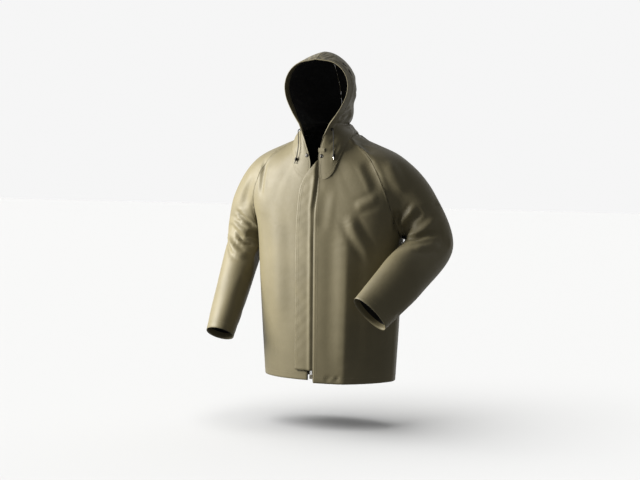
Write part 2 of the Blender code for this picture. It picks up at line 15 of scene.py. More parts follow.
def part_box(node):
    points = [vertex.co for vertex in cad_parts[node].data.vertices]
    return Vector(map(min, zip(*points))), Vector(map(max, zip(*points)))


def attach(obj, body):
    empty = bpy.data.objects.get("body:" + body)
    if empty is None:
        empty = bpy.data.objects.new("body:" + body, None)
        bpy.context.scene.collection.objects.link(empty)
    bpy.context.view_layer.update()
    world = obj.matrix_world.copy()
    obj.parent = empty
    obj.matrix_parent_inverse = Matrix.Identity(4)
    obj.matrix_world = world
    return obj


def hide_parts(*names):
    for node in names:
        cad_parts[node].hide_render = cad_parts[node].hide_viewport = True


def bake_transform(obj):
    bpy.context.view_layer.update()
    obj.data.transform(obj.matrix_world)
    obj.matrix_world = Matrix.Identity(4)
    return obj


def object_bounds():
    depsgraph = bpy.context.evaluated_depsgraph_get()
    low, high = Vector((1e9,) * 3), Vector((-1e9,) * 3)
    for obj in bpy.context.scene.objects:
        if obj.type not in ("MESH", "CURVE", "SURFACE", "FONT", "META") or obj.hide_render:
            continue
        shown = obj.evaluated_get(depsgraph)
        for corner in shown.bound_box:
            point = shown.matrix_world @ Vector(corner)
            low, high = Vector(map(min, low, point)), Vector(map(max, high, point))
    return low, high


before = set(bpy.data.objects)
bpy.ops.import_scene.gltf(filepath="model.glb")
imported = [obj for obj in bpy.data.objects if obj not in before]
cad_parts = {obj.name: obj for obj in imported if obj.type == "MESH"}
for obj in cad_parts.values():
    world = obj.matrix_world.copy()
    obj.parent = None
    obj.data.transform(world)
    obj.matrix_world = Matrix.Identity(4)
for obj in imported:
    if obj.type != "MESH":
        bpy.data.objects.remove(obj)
CAD_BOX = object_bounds()

# ---------------------------------------------------------------- driving dimensions, as in the CAD
LEFT, RIGHT = 1, -1
WORDS = {LEFT: "left", RIGHT: "right"}
HEM_Z = {LEFT: -0.791, RIGHT: -0.783}
BACK_HEM_Z, UNDERARM_Z, FRONT_EDGE = -0.789, -0.305, 0.0125
TORSO = np.array([
    # height, half width, depth in front of the side seam, depth behind it
    (-0.800, 0.2330, 0.1460, 0.1400),
    (-0.630, 0.2450, 0.1440, 0.1460),
    (-0.450, 0.2560, 0.1410, 0.1500),
    (-0.305, 0.2620, 0.1385, 0.1480),
    (-0.180, 0.2620, 0.1360, 0.1420),
    (-0.060, 0.2600, 0.1335, 0.1250),
])
FRONT_SEAM = [(0.262, 0.0, -0.305), (0.258, -0.060, -0.230), (0.243, -0.090, -0.146),
              (0.190, -0.084, -0.045), (0.098, -0.048, 0.026)]
BACK_SEAM = [(0.262, 0.0, -0.305), (0.258, 0.070, -0.230), (0.243, 0.098, -0.146),
             (0.190, 0.088, -0.045), (0.095, 0.050, 0.030)]
NECK_SIDE, NAPE = (0.092, 0.002, 0.034), (0.0, 0.087, 0.038)
BACK_MIDDLE = [(0, 0.148, UNDERARM_Z), (0, 0.142, -0.18), (0, 0.122, -0.06), NAPE]
SKIRT_LINE = [(0.0125, -0.1365, -0.108), (0.040, -0.1350, -0.106), (0.064, -0.1290, -0.086),
              (0.078, -0.1200, -0.056), (0.093, -0.0980, -0.014), (0.098, -0.048, 0.026)]
FACE_EDGE = [(0.058, -0.1170, 0.070), (0.088, -0.1110, 0.112), (0.1125, -0.1060, 0.160),
             (0.1175, -0.1050, 0.205), (0.100, -0.1055, 0.246), (0.062, -0.1065, 0.274),
             (0.0, -0.1070, 0.285)]
CROWN = [(0.0, 0.0860, 0.070), (0.0, 0.0920, 0.120), (0.0, 0.0860, 0.170), (0.0, 0.0660, 0.222),
         (0.0, 0.0270, 0.279), (0.0, -0.0320, 0.311), (0.0, -0.1070, 0.285)]
ARMS = {
    LEFT: {"shoulder": (0.256, 0.000, -0.132), "upper": (0.304, 0.024, -0.190),
           "elbow": (0.347, 0.039, -0.326), "fore": (0.314, -0.094, -0.428),
           "cuff": (0.240, -0.193, -0.544),
           "upper_size": (0.068, 0.070), "elbow_size": (0.082, 0.064),
           "fore_size": (0.079, 0.057), "cuff_size": (0.072, 0.043)},
    RIGHT: {"shoulder": (-0.256, 0.000, -0.132), "upper": (-0.295, 0.004, -0.190),
            "elbow": (-0.331, 0.004, -0.326), "fore": (-0.339, -0.066, -0.480),
            "cuff": (-0.341, -0.160, -0.644),
            "upper_size": (0.070, 0.069), "elbow_size": (0.074, 0.064),
            "fore_size": (0.068, 0.058), "cuff_size": (0.064, 0.048)},
}
SHOULDER_RISE, SHOULDER_DEPTH = 0.086, 0.084
ZIP_Z = (-0.765, -0.118)
SHELL = 0.0025

# ---------------------------------------------------------------- resolution and cloth
SEAM_STEPS = 36           # steps up each raglan seam
NECK_STEPS = 4            # steps along the neck's side between the two raglan seams
BODY_STEPS = 48           # steps from the hem to the underarm
CLOTH = 0.0009            # thickness of the coated fabric
FINER = 2                 # each step is split into this many after the cloth has settled


# ---------------------------------------------------------------- curves
def arr(p, side=LEFT):
    return np.array(p, float) * (side, 1, 1)


def spline(p0, p1, p2, p3, s):
    """Catmull-Rom between p1 and p2."""
    return 0.5 * (2 * p1 + (p2 - p0) * s + (2 * p0 - 5 * p1 + 4 * p2 - p3) * s ** 2
                  + (3 * p1 - p0 - 3 * p2 + p3) * s ** 3)


def extended(points):
    points = np.asarray(points, float)
    return np.concatenate([[2 * points[0] - points[1]], points, [2 * points[-1] - points[-2]]])


def through(points, t):
    """Points at the fractions t, by length, of a smooth curve through the given points."""
    points = np.asarray(points, float)
    ends = np.concatenate([[0], np.cumsum(np.linalg.norm(np.diff(points, axis=0), axis=1))])
    goal = np.asarray(t, float) * ends[-1]
    i = np.clip(np.searchsorted(ends, goal, side="right") - 1, 0, len(points) - 2)
    s = ((goal - ends[i]) / (ends[i + 1] - ends[i]))[..., None]
    e = extended(points)
    return spline(e[i], e[i + 1], e[i + 2], e[i + 3], s)


def along(controls, s):
    """Rows at the span numbers s down lines of control points, shaped (controls, lines, 3)."""
    s = np.asarray(s, float)
    i = np.clip(s.astype(int), 0, len(controls) - 2)
    e = extended(controls)
    return spline(e[i], e[i + 1], e[i + 2], e[i + 3], (s - i)[:, None, None])


def bezier(p0, p1, p2, p3, t):
    t = np.asarray(t, float)[:, None]
    s = 1 - t
    return p0 * s ** 3 + p1 * (3 * s * s * t) + p2 * (3 * s * t * t) + p3 * t ** 3


def row_curve(front, side_point, t, full=0.62):
    """One row round the body: it leaves the middle along X and reaches the side along Y."""
    d = side_point - front
    return bezier(front, front + (d[0] * full, 0, d[2] / 3), side_point - (0, d[1] * full, d[2] / 3),
                  side_point, t)


def torso_at(z):
    """Half width, front depth and back depth of the body at a height."""
    return [float(np.interp(z, TORSO[:, 0], TORSO[:, k])) for k in (1, 2, 3)]


def smooth(x):
    x = np.clip(x, 0, 1)
    return x * x * (3 - 2 * x)


# ---------------------------------------------------------------- base surfaces: grids (rows, columns, 3)
def front_row(side, v, t):
    """A row of a front: v is 0 to 1 from hem to underarm, on to 2 at the skirt; t from edge to seam."""
    if v < 1:
        z = HEM_Z[side] + (UNDERARM_Z - HEM_Z[side]) * v
        half, front, _ = torso_at(z)
        return row_curve(arr((FRONT_EDGE, -front, z)), arr((half, 0, z)), t)
    u = v - 1
    seam = arr(FRONT_SEAM)
    start = arr((FRONT_EDGE, -torso_at(UNDERARM_Z)[1], UNDERARM_Z))
    bow = through(seam, u) - (seam[0] * (1 - u) + seam[-1] * u)
    return (row_curve(start, seam[0], t) * (1 - u) + through(SKIRT_LINE, t) * u
            + bow * np.asarray(t)[:, None] ** 2.2)


def front_grid(side, columns=32):
    t = np.linspace(0, 1, columns + 1)
    levels = list(np.arange(BODY_STEPS) / BODY_STEPS) + list(1 + np.arange(SEAM_STEPS + 1) / SEAM_STEPS)
    return np.array([front_row(side, v, t) for v in levels]) * (side, 1, 1)


def back_grid(columns=30):
    """The back, each row from the right side round to the left."""
    t = np.linspace(0, 1, columns + 1)
    seam, rows = arr(BACK_SEAM), []
    for k in range(BODY_STEPS + SEAM_STEPS + 1):
        halves = []
        for side in (RIGHT, LEFT):
            if k < BODY_STEPS:
                z = BACK_HEM_Z + (UNDERARM_Z - BACK_HEM_Z) * k / BODY_STEPS
                end_z = HEM_Z[side] + (UNDERARM_Z - HEM_Z[side]) * k / BODY_STEPS
                middle, end = arr((0, torso_at(z)[2], z)), arr((torso_at(end_z)[0], 0, end_z))
            else:
                u = (k - BODY_STEPS) / SEAM_STEPS
                middle, end = through(BACK_MIDDLE, u), through(seam, u)
            halves.append(row_curve(middle, end, t) * (side, 1, 1))
        rows.append(np.concatenate([halves[0][::-1], halves[1][1:]]))
    return np.array(rows)


def armhole(side, phi):
    u = (1 - abs(1 - phi / math.pi)) * (SEAM_STEPS + NECK_STEPS) / SEAM_STEPS
    seam = arr(FRONT_SEAM if phi <= math.pi else BACK_SEAM, side)
    if u > 1.0001:
        f = (u - 1) * SEAM_STEPS / NECK_STEPS
        return seam[-1] * (1 - f) + arr(NECK_SIDE, side) * f
    return through(seam, min(u, 1))


def ring(centre, direction, out, size, plane, phi):
    """A point of an oval section: size is half its width in the bending plane and across it."""
    t = direction.normalized()
    across = (plane - t * plane.dot(t)).normalized()
    inplane = across.cross(t)
    o = (out - t * out.dot(t)).normalized()
    f = t.cross(o)
    if f.y > 0:
        f = -f
    v = o * -math.cos(phi) + f * math.sin(phi)
    return centre + inplane * v.dot(inplane) * size[0] + across * v.dot(across) * size[1]


def arm_frame(side):
    upper, elbow, cuff = (Vector(ARMS[side][k]) for k in ("upper", "elbow", "cuff"))
    upper_dir, fore_dir = (elbow - upper).normalized(), (cuff - elbow).normalized()
    return upper_dir, fore_dir, upper_dir.cross(fore_dir).normalized()


def sleeve_line(side, phi):
    """Control points down one line of the sleeve, from the raglan seam to the cuff."""
    arm = ARMS[side]
    upper_dir, fore_dir, hinge = arm_frame(side)
    out = Vector((side, 0, 0))
    turn = upper_dir.rotation_difference(fore_dir)
    half_turn = turn.copy()
    half_turn.angle *= 0.5
    start = Vector(armhole(side, phi))
    lift = min(1, (1 - math.cos(phi)) * 0.8)
    elbow = ring(Vector(arm["elbow"]), half_turn @ upper_dir, half_turn @ out, arm["elbow_size"],
                 hinge, phi)
    upper = ring(Vector(arm["upper"]), upper_dir, out, arm["upper_size"], hinge, phi)
    cap = Vector(arm["shoulder"]) + Vector((0.012 * side, 0, SHOULDER_RISE)) * -math.cos(phi)
    cap += Vector((0, -SHOULDER_DEPTH, 0)) * math.sin(phi)
    fore, cuff = (ring(Vector(arm[k]), fore_dir, turn @ out, arm[k + "_size"], hinge, phi)
                  for k in ("fore", "cuff"))
    return [start, start.lerp(elbow, 0.2).lerp(cap, lift), start.lerp(elbow, 0.5).lerp(upper, lift),
            elbow, fore, cuff]


SLEEVE_ROWS = 64
SLEEVE_SPANS = np.linspace(0, 5, SLEEVE_ROWS + 1)


def sleeve_grid(side):
    """A whole sleeve; its last column repeats the first, at the underarm."""
    around = 2 * (SEAM_STEPS + NECK_STEPS)
    lines = np.array([sleeve_line(side, 2 * math.pi * i / around) for i in range(around + 1)])
    return along(lines.transpose(1, 0, 2), SLEEVE_SPANS)


HOOD_COLUMNS, SKIRT_ROWS, HOOD_ROWS = 36, 16, 42
NECKLINE = SKIRT_LINE + [NECK_SIDE, (0.095, 0.050, 0.030), (0.060, 0.081, 0.035), NAPE]
COLLAR = [(0.030, -0.1262, 0.014), (0.048, -0.1190, 0.026), (0.078, -0.0860, 0.036),
          (0.094, -0.0480, 0.040), (0.0925, -0.004, 0.046), (0.084, 0.044, 0.048),
          (0.052, 0.078, 0.050), (0.0, 0.0875, 0.052)]
THROAT = (0.0055, -0.1345, -0.058)


def hood_row(v, t):
    start, end = through(FACE_EDGE, v), through(CROWN, v)
    d = end - start
    return bezier(start, start + (0.020 * (1 - v), d[1] * 0.45, d[2] * 0.2),
                  end + (-d[0] * 0.66, 0, -d[2] * 0.1), end, t)


def hood_grid(side):
    """Half the hood with its neck skirt, each row from the face edge round to the middle seam."""
    t = np.linspace(0, 1, HOOD_COLUMNS + 1)
    low, collar, brow = through(NECKLINE, t ** 0.85), through(COLLAR, t), hood_row(0, t)
    outward = low * (1, 1, 0)
    outward /= np.linalg.norm(outward, axis=1)[:, None]
    low = low + outward * 0.0030 + (0, 0, -0.004)
    middle = (low + collar) / 2
    middle[:, :2] *= 1.015
    middle[0] = THROAT
    ease = np.exp(-t * 9)[:, None]
    middle = middle * (1 - ease) + (np.array(THROAT) + (t[:, None] * (0.26, 0.02, 0.06))) * ease
    rows = [through([low[i], middle[i], collar[i], brow[i]], np.arange(SKIRT_ROWS) / SKIRT_ROWS)
            for i in range(HOOD_COLUMNS + 1)]
    lower = np.array(rows).transpose(1, 0, 2)
    upper = np.array([hood_row(v, t) for v in np.linspace(0, 1, HOOD_ROWS + 1)])
    return np.concatenate([lower, upper]) * (side, 1, 1)


# ---------------------------------------------------------------- grids, normals and refinement
def unit(v):
    return v / np.maximum(np.linalg.norm(v, axis=-1, keepdims=True), 1e-12)


def normals(grid, outward):
    """Unit normals of a grid; outward is 1 or -1, as the grid is wound."""
    return unit(np.cross(np.gradient(grid, axis=1), np.gradient(grid, axis=0))) * outward


def finer(grid, n=FINER, axes=(0, 1)):
    """A grid with each step split in n along the axes, on smooth curves through its points."""
    for axis in axes:
        grid = np.moveaxis(grid, axis, 0)
        s = np.linspace(0, len(grid) - 1, (len(grid) - 1) * n + 1)
        grid = np.moveaxis(along(grid, s), 0, axis)
    return grid


def grid_lengths(grid):
    """Along and across distances over a grid, in metres, for its UV map."""
    step_u = np.linalg.norm(np.diff(grid, axis=1), axis=2)
    step_v = np.linalg.norm(np.diff(grid, axis=0), axis=2)
    u = np.concatenate([np.zeros((len(grid), 1)), np.cumsum(step_u, axis=1)], axis=1)
    v = np.concatenate([np.zeros((1, grid.shape[1])), np.cumsum(step_v, axis=0)], axis=0)
    return np.stack([u - u.mean(axis=1, keepdims=True), v], axis=2)


# ---------------------------------------------------------------- meshes
def link(obj):
    bpy.context.scene.collection.objects.link(obj)
    return obj


def mesh_object(name, points, faces, mats, uvs=None, indices=None, smooth_faces=True):
    mesh = bpy.data.meshes.new(name)
    mesh.from_pydata([tuple(p) for p in points], [], [tuple(int(i) for i in f) for f in faces])
    for m in mats:
        mesh.materials.append(m)
    if uvs is not None:
        layer = mesh.uv_layers.new(name="cloth")
        loops = np.zeros(len(mesh.loops), np.int32)
        mesh.loops.foreach_get("vertex_index", loops)
        layer.data.foreach_set("uv", np.asarray(uvs, np.float32)[loops].ravel())
    if indices is not None:
        mesh.polygons.foreach_set("material_index", np.asarray(indices, np.int32))
    if smooth_faces:
        mesh.shade_smooth()
    return link(bpy.data.objects.new(name, mesh))


def grid_faces(rows, columns, flip=False):
    i = np.arange(rows * columns).reshape(rows, columns)
    quads = np.stack([i[:-1, :-1], i[:-1, 1:], i[1:, 1:], i[1:, :-1]], axis=-1).reshape(-1, 4)
    return quads[:, ::-1] if flip else quads


# a stitch's rings: place along it, from -1 to 1, and share of its radius
STITCH_RINGS = np.array([(-1.0, 0.35), (-0.6, 1.0), (0.6, 1.0), (1.0, 0.35)])
STITCH_SIDES = 5
FACE, BACK, RIM, STITCH = range(4)        # which of a piece's materials each part of it has


class Piece:
    """One finished piece: layers of cloth, and the stitches on them, gathered into one mesh."""

    def __init__(self, name, mats=None):
        # the rims take a light colour: a painted highlight along the cloth's edges
        self.name, self.mats = name, mats or [OLIVE, BACKING, PAINTED_EDGE_HIGHLIGHT, THREAD]
        self.points, self.faces, self.uvs, self.kinds, self.weights, self.count = [], [], [], [], [], 0
        self.given_normals = {}

    def add(self, points, faces, uvs, kinds, weights):
        self.points.append(points)
        self.faces += [[int(i) + self.count for i in f] for f in faces]
        self.uvs.append(uvs)
        self.kinds.append(kinds)
        self.weights.append(weights)
        self.count += len(points)

    def sheet(self, grid, outward, thickness=CLOTH, weights=None, run_on=(), out=None):
        """A grid of cloth with its backing behind it and its cut edge closed, except along the borders,
        "bottom" or "top", where it runs on into the next piece and is shaded by the directions out."""
        rows, columns = grid.shape[:2]
        n = rows * columns
        back = grid - normals(grid, outward) * thickness
        front = grid_faces(rows, columns, flip=outward < 0)
        i = np.arange(n).reshape(rows, columns)
        loop = np.concatenate([i[0], i[1:, -1], i[-1, -2::-1], i[-2:0:-1, 0]])
        m, k = len(loop), np.arange(len(loop))
        after = np.roll(k, -1)
        rim = np.stack([k, after, after + m, k + m], axis=1)
        skipped = [set(i[0]) if "bottom" in run_on else set(), set(i[-1]) if "top" in run_on else set()]
        rim = rim[[not any(loop[a] in s and loop[b] in s for s in skipped) for a, b in zip(k, after)]]
        if outward > 0:
            rim = rim[:, ::-1]
        uv = grid_lengths(grid).reshape(-1, 2)
        w = np.zeros(n) if weights is None else np.broadcast_to(weights, (rows, columns)).ravel()
        flat, behind = grid.reshape(-1, 3), back.reshape(-1, 3)
        if out is not None:
            for border, row in (("bottom", 0), ("top", rows - 1)):
                if border in run_on:
                    for a, normal in zip(i[row], out[row]):
                        self.given_normals[self.count + int(a)] = normal
                        self.given_normals[self.count + n + int(a)] = -normal
        self.add(np.concatenate([flat, behind, flat[loop], behind[loop]]),
                 np.concatenate([front, front[:, ::-1] + n, rim + 2 * n]),
                 np.concatenate([uv, uv, uv[loop], uv[loop]]),
                 np.repeat([FACE, BACK, RIM], [len(front), len(front), len(rim)]),
                 np.concatenate([w, w, w[loop], w[loop]]))

    def stitches(self, line, out, pitch=0.0034, length=0.0025, radius=0.00042, weights=None):
        """A row of thread stitches on a line of points whose outward directions are out."""
        line, out = np.asarray(line, float), np.asarray(out, float)
        run = np.concatenate([[0], np.cumsum(np.linalg.norm(np.diff(line, axis=0), axis=1))])
        count = int(run[-1] / pitch)
        if count < 2:
            return
        w = np.zeros(len(line)) if weights is None else np.asarray(weights, float)
        at = (np.arange(count) + 0.5) * run[-1] / count

        def sample(values, where):
            return np.stack([np.interp(where, run, values[:, k]) for k in range(3)], axis=1)

        centre, up = sample(line, at), unit(sample(out, at))
        forward = unit(sample(line, at + length / 2) - sample(line, at - length / 2))
        across = unit(np.cross(forward, up))
        angle = 2 * math.pi * np.arange(STITCH_SIDES) / STITCH_SIDES
        points = []
        for where, share in STITCH_RINGS:
            for a in angle:
                points.append(centre + forward * where * length / 2 + across * math.cos(a) * share * radius
                              + up * (math.sin(a) * share * radius * 0.8 + radius * 0.3))
        points = np.stack(points, axis=1).reshape(-1, 3)
        per = len(STITCH_RINGS) * STITCH_SIDES
        faces = []
        for r in range(len(STITCH_RINGS) - 1):
            for k in range(STITCH_SIDES):
                j = (k + 1) % STITCH_SIDES
                faces.append([r * STITCH_SIDES + k, r * STITCH_SIDES + j,
                              (r + 1) * STITCH_SIDES + j, (r + 1) * STITCH_SIDES + k])
        caps = [list(range(STITCH_SIDES))[::-1], list(range(per - STITCH_SIDES, per))]
        every = [[i + per * c for i in f] for c in range(count) for f in faces + caps]
        self.add(points, every, np.zeros((len(points), 2)), np.full(len(every), STITCH),
                 np.repeat(np.interp(at, run, w), per))

    def build(self):
        self.obj = mesh_object(self.name, np.concatenate(self.points), self.faces, self.mats,
                               uvs=np.concatenate(self.uvs), indices=np.concatenate(self.kinds))
        if self.given_normals:
            mesh = self.obj.data
            facing = np.zeros(len(mesh.vertices) * 3, np.float32)
            mesh.vertices.foreach_get("normal", facing)
            facing = facing.reshape(-1, 3)
            for i, normal in self.given_normals.items():
                facing[i] = normal
            mesh.normals_split_custom_set_from_vertices([tuple(v) for v in facing])
        return self.obj

    def bend(self, a, b, start, end):
        """Builds the piece and bakes its transform into its points; it does not blend it. The two bodies are
        not used.
        """
        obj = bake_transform(self.build())
        return obj


def turn_in(grid, out, border, steps, depth=0.0019):
    """A grid, and its outward directions, with a hem turned in at one border."""
    axis, last = {"bottom": (0, False), "top": (0, True), "first": (1, False)}[border]

    def facing(a):
        a = np.moveaxis(a, axis, 0)
        return a[::-1] if last else a

    g, n = facing(grid), facing(out)
    inner = (g[1:steps + 1] - n[1:steps + 1] * depth)[::-1]
    outwards = unit(g[:1] - g[1:2])
    fold = g[:1] - n[:1] * depth * 0.55 + outwards * 0.0007
    made = np.concatenate([inner, fold, g])
    kept = np.concatenate([n[1:steps + 1][::-1], n[:1], n])

    def back(a):
        return np.moveaxis(a[::-1] if last else a, 0, axis)

    return back(made), back(kept)


SEWN = {"bottom": (np.s_[0], np.s_[1]), "first": (np.s_[:, 0], np.s_[:, 1]),
        "last": (np.s_[:, -1], np.s_[:, -2])}


def sew_down(grid, out, borders, dip=0.0011, lift=0.0005):
    """Rounds a panel into its seams: the border sinks and the cloth beside it rises a little."""
    grid = grid.copy()
    for border in borders:
        edge, beside = SEWN[border]
        grid[edge] -= out[edge] * dip
        grid[beside] += out[beside] * lift
    return grid


# ---------------------------------------------------------------- materials
def shader(name, colour, roughness, **sockets):
    mat = bpy.data.materials.new(name)
    mat.use_nodes = True
    tree = mat.node_tree
    bsdf = tree.nodes["Principled BSDF"]
    bsdf.inputs["Base Color"].default_value = (*colour, 1)
    bsdf.inputs["Roughness"].default_value = roughness
    for key, value in sockets.items():
        bsdf.inputs[key.replace("_", " ")].default_value = value
    return mat, tree, bsdf


def node(tree, kind, **values):
    made = tree.nodes.new(kind)
    for key, value in values.items():
        if key in made.inputs:
            made.inputs[key].default_value = value
        else:
            setattr(made, key, value)
    return made


def noise_map(tree, where, scale, detail=4.0, roughness=0.55):
    made = node(tree, "ShaderNodeTexNoise", Scale=scale, Detail=detail, Roughness=roughness)
    tree.links.new(where, made.inputs["Vector"])
    return made.outputs["Fac"]


def ramp(tree, source, stops):
    made = tree.nodes.new("ShaderNodeValToRGB")
    while len(made.color_ramp.elements) < len(stops):
        made.color_ramp.elements.new(0.5)
    for element, (at, colour) in zip(made.color_ramp.elements, stops):
        element.position, element.color = at, (*colour, 1)
    tree.links.new(source, made.inputs["Fac"])
    return made.outputs["Color"]


def add_bump(tree, bsdf, heights):
    """Bumps in a chain; heights are (socket, distance, strength)."""
    previous = None
    for height, distance, strength in heights:
        bump = node(tree, "ShaderNodeBump", Distance=distance, Strength=strength)
        tree.links.new(height, bump.inputs["Height"])
        if previous:
            tree.links.new(previous, bump.inputs["Normal"])
        previous = bump.outputs["Normal"]
    tree.links.new(previous, bsdf.inputs["Normal"])


def weave(tree, where, pitch):
    """Height of a plain weave: two crossed sets of threads."""
    sets = []
    for direction in ("X", "Y"):
        w = node(tree, "ShaderNodeTexWave", Scale=math.pi / (10 * pitch), Distortion=0.4)
        w.bands_direction = direction
        w.inputs["Detail Scale"].default_value = 0.3 / pitch
        tree.links.new(where, w.inputs["Vector"])
        sets.append(w.outputs["Fac"])
    both = node(tree, "ShaderNodeMath", operation="MAXIMUM")
    tree.links.new(sets[0], both.inputs[0])
    tree.links.new(sets[1], both.inputs[1])
    return both.outputs[0]


def coated_fabric(name, dark, light, roughness=(0.50, 0.64), pitch=0.0008):
    """Fabric with a smooth coating: the weave shows faintly through it, and it scuffs a little."""
    mat, tree, bsdf = shader(name, light, 0.5, Specular_IOR_Level=0.42, Sheen_Weight=0.06)
    uv = tree.nodes.new("ShaderNodeUVMap").outputs["UV"]
    place = tree.nodes.new("ShaderNodeTexCoord").outputs["Object"]
    cloudy = noise_map(tree, place, 9.0, 5.0, 0.6)
    tree.links.new(ramp(tree, cloudy, [(0.30, dark), (0.70, light)]), bsdf.inputs["Base Color"])
    rough = node(tree, "ShaderNodeMapRange")
    tree.links.new(noise_map(tree, place, 30.0, 6.0, 0.65), rough.inputs["Value"])
    rough.inputs["To Min"].default_value, rough.inputs["To Max"].default_value = roughness
    tree.links.new(rough.outputs["Result"], bsdf.inputs["Roughness"])
    add_bump(tree, bsdf, [(noise_map(tree, place, 38.0, 3.0, 0.5), 0.0012, 0.35),
                          (weave(tree, uv, pitch), 0.00006, 0.5)])
    return mat


def cloth_backing(name, colour, roughness=0.85, pitch=0.0009):
    mat, tree, bsdf = shader(name, colour, roughness, Sheen_Weight=0.12, Specular_IOR_Level=0.3)
    uv = tree.nodes.new("ShaderNodeUVMap").outputs["UV"]
    place = tree.nodes.new("ShaderNodeTexCoord").outputs["Object"]
    dark = tuple(c * 0.7 for c in colour)
    light = tuple(c * 1.5 for c in colour)
    tree.links.new(ramp(tree, noise_map(tree, place, 45.0), [(0.3, dark), (0.7, light)]),
                   bsdf.inputs["Base Color"])
    add_bump(tree, bsdf, [(weave(tree, uv, pitch), 0.00012, 0.7)])
    return mat


def worn_metal(name, colour, roughness, scale=900.0):
    mat, tree, bsdf = shader(name, colour, roughness, Metallic=1.0)
    place = tree.nodes.new("ShaderNodeTexCoord").outputs["Object"]
    scratches = noise_map(tree, place, scale, 6.0, 0.7)
    tree.links.new(ramp(tree, scratches, [(0.35, tuple(c * 0.72 for c in colour)), (0.65, colour)]),
                   bsdf.inputs["Base Color"])
    rough = node(tree, "ShaderNodeMapRange")
    tree.links.new(scratches, rough.inputs["Value"])
    rough.inputs["To Min"].default_value = roughness * 0.7
    rough.inputs["To Max"].default_value = roughness * 1.5
    tree.links.new(rough.outputs["Result"], bsdf.inputs["Roughness"])
    add_bump(tree, bsdf, [(scratches, 0.00005, 0.4)])
    return mat


def braid(name, colour, pitch=0.0012):
    """Braided cord or webbing: diagonal bright and dark strands."""
    mat, tree, bsdf = shader(name, colour, 0.75, Sheen_Weight=0.2)
    place = tree.nodes.new("ShaderNodeTexCoord").outputs["Object"]
    w = node(tree, "ShaderNodeTexWave", Scale=math.pi / (10 * pitch), Distortion=1.2)
    w.bands_direction = "DIAGONAL"
    tree.links.new(place, w.inputs["Vector"])
    tree.links.new(ramp(tree, w.outputs["Fac"], [(0.2, tuple(c * 0.5 for c in colour)),
                                                 (0.8, tuple(c * 1.6 for c in colour))]),
                   bsdf.inputs["Base Color"])
    add_bump(tree, bsdf, [(w.outputs["Fac"], 0.0003, 0.8)])
    return mat


OLIVE = coated_fabric("coated_olive", (0.135, 0.116, 0.062), (0.164, 0.141, 0.077))
BACKING = cloth_backing("black_backing", (0.010, 0.010, 0.011))
# the cloth's rims: a light colour that paints the highlight the light makes along their edges
PAINTED_EDGE_HIGHLIGHT = cloth_backing("painted_edge_highlight", (0.42, 0.38, 0.27), 0.7)
THREAD = cloth_backing("olive_thread", (0.20, 0.172, 0.105), 0.7, 0.0004)
DARK_METAL = worn_metal("dark_metal", (0.05, 0.048, 0.045), 0.32)
STUD_METAL = worn_metal("stud_metal", (0.50, 0.46, 0.36), 0.30)
ZIP_METAL = worn_metal("zip_metal", (0.30, 0.27, 0.20), 0.34)
BRIGHT_METAL = worn_metal("bright_metal", (0.75, 0.74, 0.70), 0.22)
LOCK_PLASTIC = worn_metal("lock_finish", (0.035, 0.034, 0.034), 0.40)
TAPE = cloth_backing("zip_tape", (0.045, 0.040, 0.028), 0.85, 0.0006)
CORD_BRAID = braid("cord_braid", (0.022, 0.021, 0.018))
WEBBING = braid("webbing", (0.025, 0.024, 0.021), 0.0016)


# ---------------------------------------------------------------- the cloth as one welded set of points
grids = {"front_left": front_grid(LEFT), "front_right": front_grid(RIGHT), "back": back_grid(),
         "sleeve_left": sleeve_grid(LEFT), "sleeve_right": sleeve_grid(RIGHT),
         "hood_left": hood_grid(LEFT), "hood_right": hood_grid(RIGHT)}
# 1 where the cross product of a grid's steps along and up it points outwards, or -1
OUTWARD = {"front_left": 1, "front_right": -1, "back": -1, "sleeve_left": -1, "sleeve_right": 1,
           "hood_left": 1, "hood_right": -1}
BODY = ["front_left", "front_right", "back", "sleeve_left", "sleeve_right"]
HOOD = ["hood_left", "hood_right"]


def open_throat():
    """The wearer's left front and neck skirt curve away from the middle towards the throat."""
    for name, heights, shifts in (
            ("front_left", (-0.30, -0.21, -0.146, -0.10), (0.0, 0.0035, 0.0115, 0.016)),
            ("hood_left", (-0.112, -0.058, -0.036, 0.014, 0.03), (0.016, 0.021, 0.012, 0.003, 0.0))):
        g = grids[name]
        share = (1 - np.linspace(0, 1, g.shape[1])) ** 4
        g[..., 0] += np.interp(g[:, :1, 2], heights, shifts) * share


def flatten_side(crease=0.127, height=-0.50, share=0.5):
    """The wearer's left front breaks down an upright line, and lies flatter from there to its side."""
    g = grids["front_left"]
    level = g[int(np.argmin(abs(g[:, 0, 2] - height)))]
    k = int(np.argmin(abs(level[:, 0] - crease)))
    for row in g:
        run = np.concatenate([[0], np.cumsum(np.linalg.norm(np.diff(row[k:], axis=0), axis=1))])
        chord = row[k] + (row[-1] - row[k]) * (run / run[-1])[:, None]
        amount = share * smooth((-0.25 - row[k, 2]) / 0.18)
        row[k:] = row[k:] * (1 - amount) + chord * amount


def weld(names, reach=0.0003):
    """The grids' points as one list with the shared ones merged, and each grid's numbers in it."""
    points, ids = [], {}
    stacked = np.concatenate([grids[n].reshape(-1, 3) for n in names])
    tree = KDTree(len(stacked))
    for i, p in enumerate(stacked):
        tree.insert(p, i)
    tree.balance()
    number = np.full(len(stacked), -1)
    for i, p in enumerate(stacked):
        if number[i] < 0:
            for _, j, _ in tree.find_range(p, reach):
                number[j] = len(points)
            points.append(p)
    at = 0
    for n in names:
        rows, columns = grids[n].shape[:2]
        ids[n] = number[at:at + rows * columns].reshape(rows, columns)
        at += rows * columns
    return np.array(points), ids


